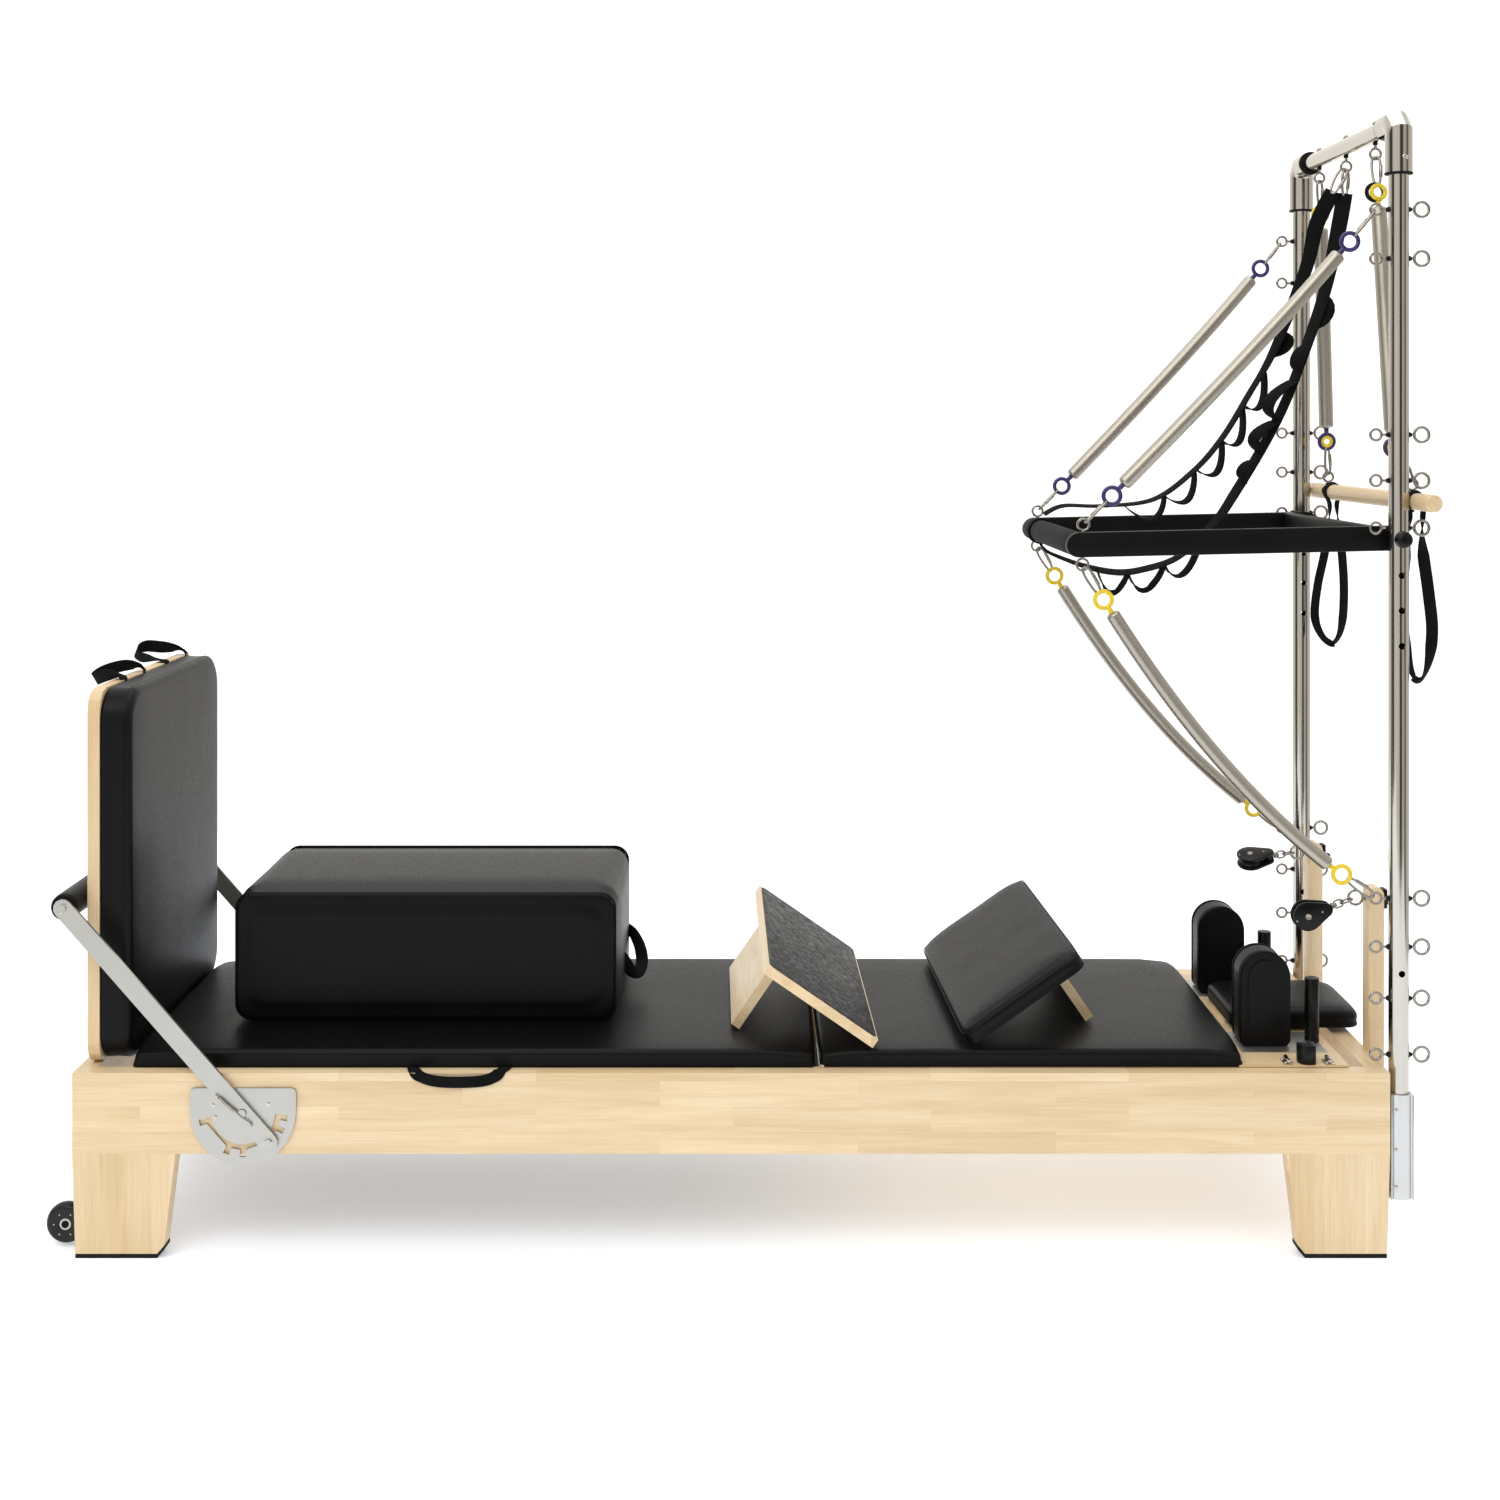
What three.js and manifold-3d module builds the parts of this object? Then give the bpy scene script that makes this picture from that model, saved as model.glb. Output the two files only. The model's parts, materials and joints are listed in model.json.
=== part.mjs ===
// Pilates reformer with a half tower. Millimetres, +Z up.
// X runs along the frame from the foot end to the tower end, Y across it, near side negative.
import * as THREE from 'three';
import * as BufferGeometryUtils from 'three/addons/utils/BufferGeometryUtils.js';
import Module from 'manifold-3d';

const wasm = await Module();
wasm.setup();

// Gaps, cutting and how many corners a round section has
const seatGap = 0.3;
const runningGap = 1;
const cutOverrun = 5;
const tubeCorners = 12;

// Wooden frame
const frameWidth = 660;
const frameTop = 337;
const railDepth = 147;
const railThickness = 36;
const endBoardThickness = 36;
const legTopWidth = 188;
const legFootWidth = 160;
const legOuterTaper = 6;
const legChamferRun = 11;
const legChamferRise = 15;
const footPadThickness = 8;

// Carriage tracks and spring bar inside the frame
const trackWidth = 26;
const trackHeight = 10;
const trackDrop = 37;
const springBarSize = 24;
const springBarPlace = 150;

// Transport wheels
const wheelRadius = 37.5;
const wheelWidth = 28;
const wheelFloorGap = 4.5;
const wheelOverhang = 29;
const wheelInset = 45;
const wheelAxleRadius = 4;
const wheelBoreGap = 0.4;
const wheelHubRadius = 13;
const wheelHubRecess = 4;
const bracketThickness = 4;
const bracketHeight = 34;
const bracketFootLength = 70;
const bracketFootStart = 20;
const axleHeadRadius = 7;
const axleHeadThickness = 3;

// Footbar and its quadrant plates
const footbarPlace = 312.5;
const footbarDrop = 69;
const quadrantRadius = 96.5;
const quadrantRise = 43;
const quadrantCorner = 8;
const quadrantThickness = 5;
const lockSlotInnerRadius = 59;
const lockSlotOuterRadius = 69;
const lockNotchDepth = 13;
const lockNotchDegrees = 8;
const lockSlotStartDegrees = -3;
const lockSlotEndDegrees = -172;
const footbarReach = 494;
const footbarTail = 72;
const footbarArmWidth = 34;
const footbarArmThickness = 6;
const footbarLeanDegrees = 131.3;
const footbarPinRadius = 7.5;
const footbarPinGap = 0.5;
const footbarGripRadius = 25;
const boltHeadRadius = 7;
const boltHeadThickness = 3;

// Jump board
const jumpBoardStart = 16;
const jumpBoardWidth = 590;
const jumpBoardHeight = 692;
const jumpBoardThickness = 22;
const jumpBoardCorner = 40;
const jumpPadThickness = 60;

// Mat conversion and carriage
const cushionWidth = 604;
const cushionCorner = 26;
const cushionCrown = 4;
const matStart = 99;
const matLength = 1255;
const matBoardThickness = 8;
const matBoardMargin = 2;
const carriageGap = 10;
const carriageCushionLength = 776;
const carriageCushionThickness = 30;
const carriagePlatformLength = 970;
const carriageEndGap = 66;
const carriageLipThickness = 4;
const carriageCoreThickness = 16;
const carriageCoreGap = 4;
const rollerBlockLength = 70;
const rollerBlockWidth = 20;
const rollerBlockMargin = 60;

// Shoulder rests, headrest and strap posts on the carriage
const shoulderRestWidth = 94;
const shoulderRestHeight = 178;
const shoulderRestThickness = 75;
const shoulderRestGap = 22;
const shoulderRestSpacing = 332;
const headrestLength = 251;
const headrestWidth = 216;
const headrestThickness = 38;
const headrestGap = 28;
const headrestBlockLength = 40;
const headrestBlockHeight = 6;
const strapPostRadius = 14;
const strapPostHeight = 121;
const strapPostGap = 166;

// Sitting box
const boxLength = 737;
const boxDepth = 425;
const boxHeight = 247;
const boxPlace = 243;
const boxShift = 66.5;

// Slant board and padded wedge
const inclineDegrees = 34.6;
const inclineWidth = 600;
const slantBoardShift = 90.5;
const slantBoardTurnDegrees = 1;
const slantBoardLength = 246;
const slantBoardThickness = 18;
const slantLegPlace = 200.6;
const slantLegWidth = 373;
const slantLegThickness = 18;
const wedgeShift = 265.5;
const wedgeTurnDegrees = 2;
const wedgeLength = 262;
const wedgeThickness = 38;
const wedgeCrown = 8;
const wedgeLegPlace = 201;
const wedgeLegWidth = 304;
const wedgeLegThickness = 18;

// Tower
const towerSpacing = 610;
const uprightRadius = 18.2;
const tubeWall = 2;
const crossbarRadius = 17;
const crossbarHeight = 2071;
const socketRadius = 23.7;
const socketBottom = 104;
const socketLength = 191;
const socketFloor = 6;
const elbowRadius = 24.5;
const elbowDrop = 92;
const elbowReach = 65;
const elbowCornerCut = 16;
const crossbarInsertion = 45;
const uprightShortfall = 22;
const pinHoleRadius = 5.5;
const pinHoleHeights = [515, 1113, 1178, 1242];
const crossbarEyeSpacing = 176;
const armSpringEyeDrop = 159;
const legSpringEyeHeight = 649;

// Eyebolts
const eyeRadius = 13;
const eyeWireRadius = 2.6;
const eyeShankRadius = 3;
const uprightEyeReach = 42;
const crossbarEyeReach = 39;
const domeNutRadius = 6;
const domeNutHeight = 7;

// Risers and pulleys
const riserThickness = 30;
const riserWidth = 37;
const riserBottom = 200;
const riserTop = 645;
const riserSpacing = 381;
const riserEyeDrop = 23;
const riserEyeReach = 19;
const pulleyTiltDegrees = { near: 20, far: 8 };
const pulleyRollDegrees = { near: 0, far: 45 };
const pulleyLinkHalfWidth = 9;
const pulleyLinkEnd = 40;
const pulleySwivelRadius = 6;
const pulleyBlockStart = 50;
const pulleyBlockLength = 76;
const pulleyBlockHeight = 55;
const pulleyBlockThickness = 26;

// Push-through bar
const pushBarPivotHeight = 1308;
const pushBarReach = 582;
const pushBarDroopDegrees = 1.25;
const pushBarDepth = 46;
const pushBarThickness = 20;
const pushBarGap = 1.5;
const pushBarPinRadius = 5.5;
const pushBarPinGap = 0.6;
const pushBarKnobRadius = 15;
const pushBarKnobThickness = 20;
const pushBarBracePlace = 40;
const pushBarEyePlace = 574;
const pushBarEyeReach = 37;

// Roll-down bar
const rollDownRadius = 16;
const rollDownLength = 780;
const rollDownDrop = 695;
const rollDownEyeSpacing = 504;
const rollDownEyeShift = -24;
const rollDownEyeReach = 31;

// Springs, their colour rings and snap hooks
const armSpringRadius = 13.7;
const legSpringRadius = 13.5;
const hangingSpringRadius = 14;
const springWireRadius = 1.9;
const armSpringCurls = 10;
const legSpringCurls = 10;
const hangingSpringCurls = 8;
const springRingRadius = 16;
const springRingWireRadius = 3.3;
const springRingPlace = 75;
const springCoilPlace = 113;
const springTailLength = 10;
const hookHalfWidth = 8;
const hookWireRadius = 2.2;
const hookEyeGap = 1.4;
const fuseDepth = 0.8;
const armSpringSagShare = 0.3;
const armSpringSagRun = 15;
const armSpringSagDrop = 13;
const legSpringSagRun = 246;
const legSpringSagDrop = 425;
const hangingHookLeanShares = { near: [-0.41, 0.14, 0.9], far: [-0.07, -0.08, 0.99] };

// Multi-loop straps
const strapWidth = 26;
const strapThickness = 3;
const strapLoopBulge = 24;
const strapHookLength = 56;
const strapHookGap = 0.8;
const strapWrapGap = 3;
const strapWrapShift = 182;
const upperStrapHookDegrees = 28;
const lowerStrapHookDegrees = -18;

// Materials
const finish = (color, roughness, metalness) => new THREE.MeshStandardMaterial({ color, roughness, metalness });
const maple = finish(0xe3c193, 0.5, 0);
const vinyl = finish(0x161616, 0.45, 0);
const blackPlastic = finish(0x111111, 0.4, 0);
const rubber = finish(0x0c0c0c, 0.8, 0);
const webbing = finish(0x0b0b0b, 0.9, 0);
const chrome = finish(0xc9c9c9, 0.15, 1);
const brushedSteel = finish(0xb9b6b0, 0.4, 1);
const aluminium = finish(0xd2d2d0, 0.35, 1);
const blackSteel = finish(0x15151a, 0.5, 0.4);

const assembly = new THREE.Group();
const sides = [{ name: 'near', sign: -1 }, { name: 'far', sign: 1 }];
const halfTurn = Math.PI;
const quarterTurn = Math.PI / 2;
const acrossFrame = new THREE.Vector3(0, 1, 0);

// Adds one named piece to a group
function addPiece(name, geometry, material, group = assembly) {
  const mesh = new THREE.Mesh(geometry, material);
  mesh.name = name;
  group.add(mesh);
  return mesh;
}

// Joining and cutting of closed geometries
function toSolid(geometry) {
  const bare = geometry.clone();
  bare.deleteAttribute('normal');
  bare.deleteAttribute('uv');
  const merged = BufferGeometryUtils.mergeVertices(bare);
  return new wasm.Manifold(new wasm.Mesh({
    numProp: 3,
    vertProperties: new Float32Array(merged.attributes.position.array),
    triVerts: new Uint32Array(merged.index.array),
  }));
}

function toGeometry(solid) {
  const mesh = solid.getMesh();
  const geometry = new THREE.BufferGeometry();
  geometry.setAttribute('position', new THREE.BufferAttribute(mesh.vertProperties, 3));
  geometry.setIndex(new THREE.BufferAttribute(mesh.triVerts, 1));
  return geometry;
}

function joined(first, ...others) {
  return toGeometry(others.reduce((solid, other) => solid.add(toSolid(other)), toSolid(first)));
}

function carved(first, ...tools) {
  return toGeometry(tools.reduce((solid, tool) => solid.subtract(toSolid(tool)), toSolid(first)));
}

// The same geometry on the other side of the centre plane, faces still pointing out
function mirrored(geometry) {
  const copy = geometry.index ? geometry.toNonIndexed() : geometry.clone();
  const points = copy.attributes.position;
  for (let i = 0; i < points.count; i += 1) {
    points.setY(i, -points.getY(i));
  }
  for (let i = 0; i < points.count; i += 3) {
    const kept = new THREE.Vector3().fromBufferAttribute(points, i);
    points.setXYZ(i, points.getX(i + 1), points.getY(i + 1), points.getZ(i + 1));
    points.setXYZ(i + 1, kept.x, kept.y, kept.z);
  }
  copy.deleteAttribute('normal');
  copy.deleteAttribute('uv');
  return BufferGeometryUtils.mergeVertices(copy);
}

const onSide = (side, geometry) => (side.sign < 0 ? geometry : mirrored(geometry));

// Simple solids
function boxBetween(x0, x1, y0, y1, z0, z1) {
  const box = new THREE.BoxGeometry(x1 - x0, y1 - y0, z1 - z0);
  return box.translate((x0 + x1) / 2, (y0 + y1) / 2, (z0 + z1) / 2);
}

function rodAlongY(radius, x, z, y0, y1, corners = tubeCorners) {
  return new THREE.CylinderGeometry(radius, radius, y1 - y0, corners).translate(x, (y0 + y1) / 2, z);
}

function rodAlongX(radius, y, z, x0, x1, corners = 8) {
  const rod = new THREE.CylinderGeometry(radius, radius, x1 - x0, corners).rotateZ(quarterTurn);
  return rod.translate((x0 + x1) / 2, y, z);
}

function rodAlongZ(radius, x, y, z0, z1, corners = tubeCorners) {
  const rod = new THREE.CylinderGeometry(radius, radius, z1 - z0, corners).rotateX(quarterTurn);
  return rod.translate(x, y, (z0 + z1) / 2);
}

// A ring of wire in the XZ plane
function ringAt(radius, wireRadius, x, y, z) {
  return new THREE.TorusGeometry(radius, wireRadius, 4, 10).rotateX(quarterTurn).translate(x, y, z);
}

// Outlines, drawn with arcs where they are round
const outline = (points) => new THREE.Shape(points);

function arcPoints(cx, cy, radius, fromDegrees, toDegrees, steps) {
  const points = [];
  for (let i = 0; i <= steps; i += 1) {
    const angle = THREE.MathUtils.degToRad(THREE.MathUtils.lerp(fromDegrees, toDegrees, i / steps));
    points.push(new THREE.Vector2(cx + radius * Math.cos(angle), cy + radius * Math.sin(angle)));
  }
  return points;
}

// A rectangle about the origin with round corners, its sides drawn in a little at their middles
function roundedOutline(length, width, corner, drawnIn = 0, steps = 2) {
  const x = length / 2 - corner;
  const y = width / 2 - corner;
  return [
    ...arcPoints(x, y, corner, 0, 90, steps),
    new THREE.Vector2(0, width / 2 - drawnIn),
    ...arcPoints(-x, y, corner, 90, 180, steps),
    new THREE.Vector2(drawnIn - length / 2, 0),
    ...arcPoints(-x, -y, corner, 180, 270, steps),
    new THREE.Vector2(0, drawnIn - width / 2),
    ...arcPoints(x, -y, corner, 270, 360, steps),
    new THREE.Vector2(length / 2 - drawnIn, 0),
  ];
}

// A flat plate drawn in the XZ plane, from y0 to y1
function plateAlongY(shape, y0, y1) {
  const plate = new THREE.ExtrudeGeometry(shape, { depth: y1 - y0, bevelEnabled: false, curveSegments: 8 });
  return plate.rotateX(quarterTurn).translate(0, y1, 0);
}

// A flat plate drawn in the YZ plane, from x0 to x1
function plateAlongX(shape, x0, x1) {
  const plate = new THREE.ExtrudeGeometry(shape, { depth: x1 - x0, bevelEnabled: false, curveSegments: 8 });
  return plate.applyMatrix4(turnedToX()).translate(x0, 0, 0);
}

// Drawn x, y and depth become Y, Z and X
function turnedToX() {
  return new THREE.Matrix4().makeBasis(
    new THREE.Vector3(0, 1, 0),
    new THREE.Vector3(0, 0, 1),
    new THREE.Vector3(1, 0, 0),
  );
}

// A closed mesh from rows of points, each row one loop, with fans or single points at its ends
function closedMesh(rows, loops) {
  const positions = rows.flat().flatMap((point) => point.toArray());
  const width = rows[0].length;
  const indices = [];
  const links = loops ? rows.length : rows.length - 1;
  for (let i = 0; i < links; i += 1) {
    const here = i * width;
    const next = ((i + 1) % rows.length) * width;
    for (let j = 0; j < width; j += 1) {
      const k = (j + 1) % width;
      indices.push(here + j, here + k, next + k);
      indices.push(here + j, next + k, next + j);
    }
  }
  if (!loops) {
    const last = (rows.length - 1) * width;
    for (let j = 1; j < width - 1; j += 1) {
      indices.push(0, j + 1, j);
      indices.push(last, last + j, last + j + 1);
    }
  }
  const geometry = new THREE.BufferGeometry();
  geometry.setAttribute('position', new THREE.Float32BufferAttribute(positions, 3));
  geometry.setIndex(indices);
  return geometry;
}

// A section swept along points. acrossAt gives the section's first direction at each of them.
function sweep(points, section, acrossAt, loops = false) {
  const last = points.length - 1;
  const rows = [];
  let carried = acrossAt(0);
  points.forEach((point, i) => {
    const before = loops ? points[(i + last) % points.length] : points[Math.max(i - 1, 0)];
    const after = loops ? points[(i + 1) % points.length] : points[Math.min(i + 1, last)];
    const tangent = after.clone().sub(before).normalize();
    const across = (acrossAt(i / last, tangent) ?? carried).clone();
    across.addScaledVector(tangent, -across.dot(tangent)).normalize();
    carried = across;
    const up = tangent.clone().cross(across);
    rows.push(section.map((corner) => point.clone().addScaledVector(across, corner.x).addScaledVector(up, corner.y)));
  });
  return closedMesh(rows, loops);
}

const wireSection = (radius, corners) => arcPoints(0, 0, radius, 0, 360 - 360 / corners, corners - 1);

// A round wire along points, its section carried along without twisting
function wire(points, radius, corners, firstAcross) {
  return sweep(points, wireSection(radius, corners), (share) => (share === 0 ? firstAcross : null));
}

// A long closed link of wire, from one end to the other along its direction
function linkBetween(from, to, halfWidth, wireRadius, sideways) {
  const along = to.clone().sub(from).normalize();
  const points = [];
  const round = (centre, startDegrees) => {
    arcPoints(0, 0, halfWidth, startDegrees, startDegrees + 180, 4).forEach((corner) => {
      points.push(centre.clone().addScaledVector(along, corner.x).addScaledVector(sideways, corner.y));
    });
  };
  round(from.clone().addScaledVector(along, halfWidth), 90);
  round(to.clone().addScaledVector(along, -halfWidth), -90);
  const normal = along.clone().cross(sideways);
  return sweep(points, wireSection(wireRadius, 4), () => normal, true);
}

// Cushions: an outline raised through rows, each a height and how far its edge is drawn in
function padded(points, halfLength, halfWidth, rows) {
  const layers = rows.map(([height, inset]) => points.map((point) => new THREE.Vector3(
    point.x * (1 - inset / halfLength),
    point.y * (1 - inset / halfWidth),
    height,
  )));
  return closedMesh(layers, false);
}

// A cushion that lies flat on its base, with sides drawn in at mid height and a crowned top
const sideLiftShares = [0, 0.25, 0.55, 0.82, 0.96, 1];
const sideInsetShares = [0, 0, 0.12, 0, 0.35, 1];
const crownLiftShares = [0.7, 1];
const crownInsetShares = [1.2, 2.4];
function crownedPad(length, width, thickness, corner, crown, drawnIn = 0) {
  const edge = thickness - crown;
  const inset = Math.min(edge, corner) / 2;
  const sideRows = sideLiftShares.map((share, i) => [edge * share, inset * sideInsetShares[i]]);
  const crownRows = crownLiftShares.map((share, i) => [edge + crown * share, corner * crownInsetShares[i]]);
  const rows = [...sideRows, ...crownRows];
  return padded(roundedOutline(length, width, corner, drawnIn), length / 2, width / 2, rows);
}

// A cushion that is crowned on both faces
const bothLiftShares = [0, 0.02, 0.1, 0.5, 0.9, 0.98, 1];
const bothInsetShares = [0.75, 0.35, 0, 0.03, 0, 0.35, 0.75];
function crownedBothWays(points, halfLength, halfWidth, thickness) {
  const inset = Math.min(halfLength, halfWidth);
  const rows = bothLiftShares.map((share, i) => [thickness * share, inset * bothInsetShares[i]]);
  return padded(points, halfLength, halfWidth, rows);
}

// Places that follow from the driving sizes
const halfWidth = frameWidth / 2;
const railInner = halfWidth - railThickness;
const railBottom = frameTop - railDepth;
const trackTop = frameTop - trackDrop;
const footbarPivotHeight = frameTop - footbarDrop;
const quadrantOuter = halfWidth + seatGap + quadrantThickness;
const armInner = quadrantOuter + seatGap;
const armOuter = armInner + footbarArmThickness;
const carriageStart = matStart + matLength + carriageGap;
const frameLength = carriageStart + carriagePlatformLength + carriageEndGap;
const slantBoardPlace = carriageStart + slantBoardShift;
const wedgePlace = carriageStart + wedgeShift;
const platformBottom = frameTop + runningGap;
const platformTop = platformBottom + carriageLipThickness;
const matBoardTop = frameTop + seatGap + matBoardThickness;
const cushionTop = platformTop + seatGap + carriageCushionThickness;
const matCushionThickness = cushionTop - matBoardTop - seatGap;
const shoulderRestStart = carriageStart + carriageCushionLength + shoulderRestGap;
const towerPlace = frameLength + socketRadius + seatGap;
const uprightY = towerSpacing / 2;
const uprightBottom = socketBottom + socketFloor + seatGap;
const uprightTop = crossbarHeight - uprightShortfall;
const armSpringEyeHeight = crossbarHeight - armSpringEyeDrop;
const crossbarEnd = uprightY + elbowRadius - crossbarInsertion;
const pushBarOuter = uprightY - uprightRadius - pushBarGap;
const pushBarInner = pushBarOuter - pushBarThickness;
const rollDownPlace = towerPlace + uprightRadius + seatGap + rollDownRadius;
const rollDownHeight = crossbarHeight - rollDownDrop;

// Side frame: the rail with its two legs, glued flush
function sideFrameShape() {
  const innerAtFoot = legOuterTaper + legFootWidth;
  const legHeight = railBottom - footPadThickness;
  const slant = (legTopWidth - innerAtFoot) / legHeight;
  const legPoints = [
    [legOuterTaper, footPadThickness],
    [innerAtFoot - legChamferRun, footPadThickness],
    [innerAtFoot + slant * legChamferRise, footPadThickness + legChamferRise],
    [legTopWidth, railBottom],
  ];
  const left = legPoints.map(([x, z]) => new THREE.Vector2(x, z));
  const right = legPoints.map(([x, z]) => new THREE.Vector2(frameLength - x, z)).reverse();
  return outline([
    new THREE.Vector2(0, frameTop),
    new THREE.Vector2(0, railBottom),
    ...left,
    ...right,
    new THREE.Vector2(frameLength, railBottom),
    new THREE.Vector2(frameLength, frameTop),
  ]);
}

// Rubber foot pad that wraps the leg's chamfered inner corner
function footPadShape(atTowerEnd) {
  const innerAtFoot = legOuterTaper + legFootWidth;
  const slant = (legTopWidth - innerAtFoot) / (railBottom - footPadThickness);
  const tip = innerAtFoot + slant * legChamferRise;
  const top = footPadThickness - seatGap;
  const points = [
    [legOuterTaper, 0],
    [innerAtFoot - legChamferRun, 0],
    [tip, legChamferRise],
    [tip, legChamferRise + top],
    [innerAtFoot - legChamferRun, top],
    [legOuterTaper, top],
  ];
  return outline(points.map(([x, z]) => new THREE.Vector2(atTowerEnd ? frameLength - x : x, z)));
}

function addFrame() {
  for (const side of sides) {
    const frame = plateAlongY(sideFrameShape(), -halfWidth, -railInner);
    addPiece(`side_frame_${side.name}`, onSide(side, frame), maple);
    for (const atTowerEnd of [false, true]) {
      const pad = plateAlongY(footPadShape(atTowerEnd), -halfWidth, -railInner);
      addPiece(`foot_pad_${side.name}_${atTowerEnd ? 'tower' : 'foot'}`, onSide(side, pad), rubber);
    }
    const trackStart = endBoardThickness + seatGap;
    const track = boxBetween(
      trackStart,
      frameLength - trackStart,
      seatGap - railInner,
      seatGap - railInner + trackWidth,
      trackTop - trackHeight,
      trackTop,
    );
    addPiece(`track_${side.name}`, onSide(side, track), aluminium);
  }
  const boardHalf = railInner - seatGap;
  for (const [name, start] of [['foot', 0], ['tower', frameLength - endBoardThickness]]) {
    const end = start + endBoardThickness;
    const board = boxBetween(start, end, -boardHalf, boardHalf, railBottom, frameTop);
    addPiece(`end_board_${name}`, board, maple);
  }
  const springBar = boxBetween(
    springBarPlace - springBarSize / 2,
    springBarPlace + springBarSize / 2,
    -boardHalf,
    boardHalf,
    trackTop + seatGap,
    trackTop + seatGap + springBarSize,
  );
  addPiece('spring_bar', springBar, brushedSteel);
}

// Transport wheel on an axle that a bent bracket carries from the leg's inner face
function addTransportWheels() {
  const faceY = wheelInset - halfWidth;
  const backY = faceY + wheelWidth;
  const axisZ = wheelFloorGap + wheelRadius;
  const bore = wheelAxleRadius + wheelBoreGap;
  const recessY = wheelHubRecess;
  const profile = [
    [bore, recessY],
    [wheelHubRadius, recessY],
    [wheelHubRadius, 0],
    [wheelRadius - wheelHubRecess, 0],
    [wheelRadius, wheelHubRecess * 2],
    [wheelRadius, wheelWidth - wheelHubRecess * 2],
    [wheelRadius - wheelHubRecess, wheelWidth],
    [bore, wheelWidth],
    [bore, recessY],
  ].map(([r, y]) => new THREE.Vector2(r, y));
  const wheel = new THREE.LatheGeometry(profile, 18).translate(-wheelOverhang, faceY, axisZ);
  const plateY = backY + runningGap;
  const legFaceY = seatGap - railInner;
  const low = axisZ - bracketHeight / 2;
  const high = axisZ + bracketHeight / 2;
  const sidePlateY = plateY + bracketThickness;
  const bracket = joined(
    boxBetween(
      bracketFootStart,
      bracketFootStart + bracketFootLength,
      legFaceY,
      legFaceY + bracketThickness,
      low,
      high,
    ),
    boxBetween(bracketFootStart, bracketFootStart + bracketThickness, legFaceY, sidePlateY, low, high),
    boxBetween(-wheelOverhang - wheelHubRadius, bracketFootStart + bracketThickness, plateY, sidePlateY, low, high),
    rodAlongY(wheelAxleRadius, -wheelOverhang, axisZ, faceY + seatGap, plateY + fuseDepth, 12),
    rodAlongY(
      axleHeadRadius,
      -wheelOverhang,
      axisZ,
      faceY + wheelHubRecess - seatGap - axleHeadThickness,
      faceY + wheelHubRecess - seatGap,
      12,
    ),
  );
  for (const side of sides) {
    addPiece(`transport_wheel_${side.name}`, onSide(side, wheel), rubber);
    addPiece(`wheel_bracket_${side.name}`, onSide(side, bracket), blackSteel);
  }
}

// The locking slot: an arc with notches on its outer side, one of them under the arm's lock bolt
const lockNotchMiddles = [-166, -112, -90, footbarLeanDegrees - 180, -25, -8];
function lockSlot() {
  const points = arcPoints(0, 0, lockSlotInnerRadius, lockSlotStartDegrees, lockSlotEndDegrees, 10);
  const outer = [];
  for (const middle of lockNotchMiddles) {
    const from = middle - lockNotchDegrees / 2;
    const to = middle + lockNotchDegrees / 2;
    outer.push(...arcPoints(0, 0, lockSlotOuterRadius, from, from, 1).slice(1));
    outer.push(...arcPoints(0, 0, lockSlotOuterRadius + lockNotchDepth, from, to, 1));
    outer.push(...arcPoints(0, 0, lockSlotOuterRadius, to, to, 1).slice(1));
  }
  return [...points, ...outer];
}

function quadrantShape() {
  const x = footbarPlace;
  const z = footbarPivotHeight;
  const shape = outline([
    ...arcPoints(x, z, quadrantRadius, 180, 360, 14),
    ...arcPoints(
      x + quadrantRadius - quadrantCorner,
      z + quadrantRise - quadrantCorner,
      quadrantCorner,
      0,
      90,
      2,
    ),
    ...arcPoints(
      x - quadrantRadius + quadrantCorner,
      z + quadrantRise - quadrantCorner,
      quadrantCorner,
      90,
      180,
      2,
    ),
  ]);
  const slot = lockSlot().map((point) => new THREE.Vector2(point.x + x, point.y + z));
  shape.holes.push(new THREE.Path(slot));
  return shape;
}

function addFootbar() {
  const plate = joined(
    plateAlongY(quadrantShape(), -quadrantOuter, -halfWidth - seatGap),
    rodAlongY(
      footbarPinRadius,
      footbarPlace,
      footbarPivotHeight,
      -armOuter - boltHeadThickness,
      -quadrantOuter + fuseDepth,
      12,
    ),
  );
  const footbar = new THREE.Group();
  footbar.position.set(footbarPlace, 0, footbarPivotHeight);
  footbar.rotation.y = -THREE.MathUtils.degToRad(footbarLeanDegrees);
  assembly.add(footbar);
  const half = footbarArmWidth / 2;
  const armShape = outline([
    ...arcPoints(footbarReach, 0, half, -90, 90, 6),
    ...arcPoints(-footbarTail, 0, half, 90, 270, 6),
  ]);
  const blank = plateAlongY(armShape, -armOuter, -armInner);
  const pinHole = rodAlongY(
    footbarPinRadius + footbarPinGap,
    0,
    0,
    -armOuter - cutOverrun,
    -armInner + cutOverrun,
    12,
  );
  const head = (x) => rodAlongY(
    boltHeadRadius,
    x,
    0,
    -armOuter - boltHeadThickness,
    -armOuter + fuseDepth,
    8,
  );
  const arm = joined(carved(blank, pinHole), head(footbarReach), head(-footbarTail));
  for (const side of sides) {
    addPiece(`quadrant_${side.name}`, onSide(side, plate), brushedSteel);
    addPiece(`footbar_arm_${side.name}`, onSide(side, arm), brushedSteel, footbar);
  }
  const gripEnd = armInner - seatGap;
  addPiece('footbar_grip', rodAlongY(footbarGripRadius, footbarReach, 0, -gripEnd, gripEnd, 20), vinyl, footbar);
}

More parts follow.
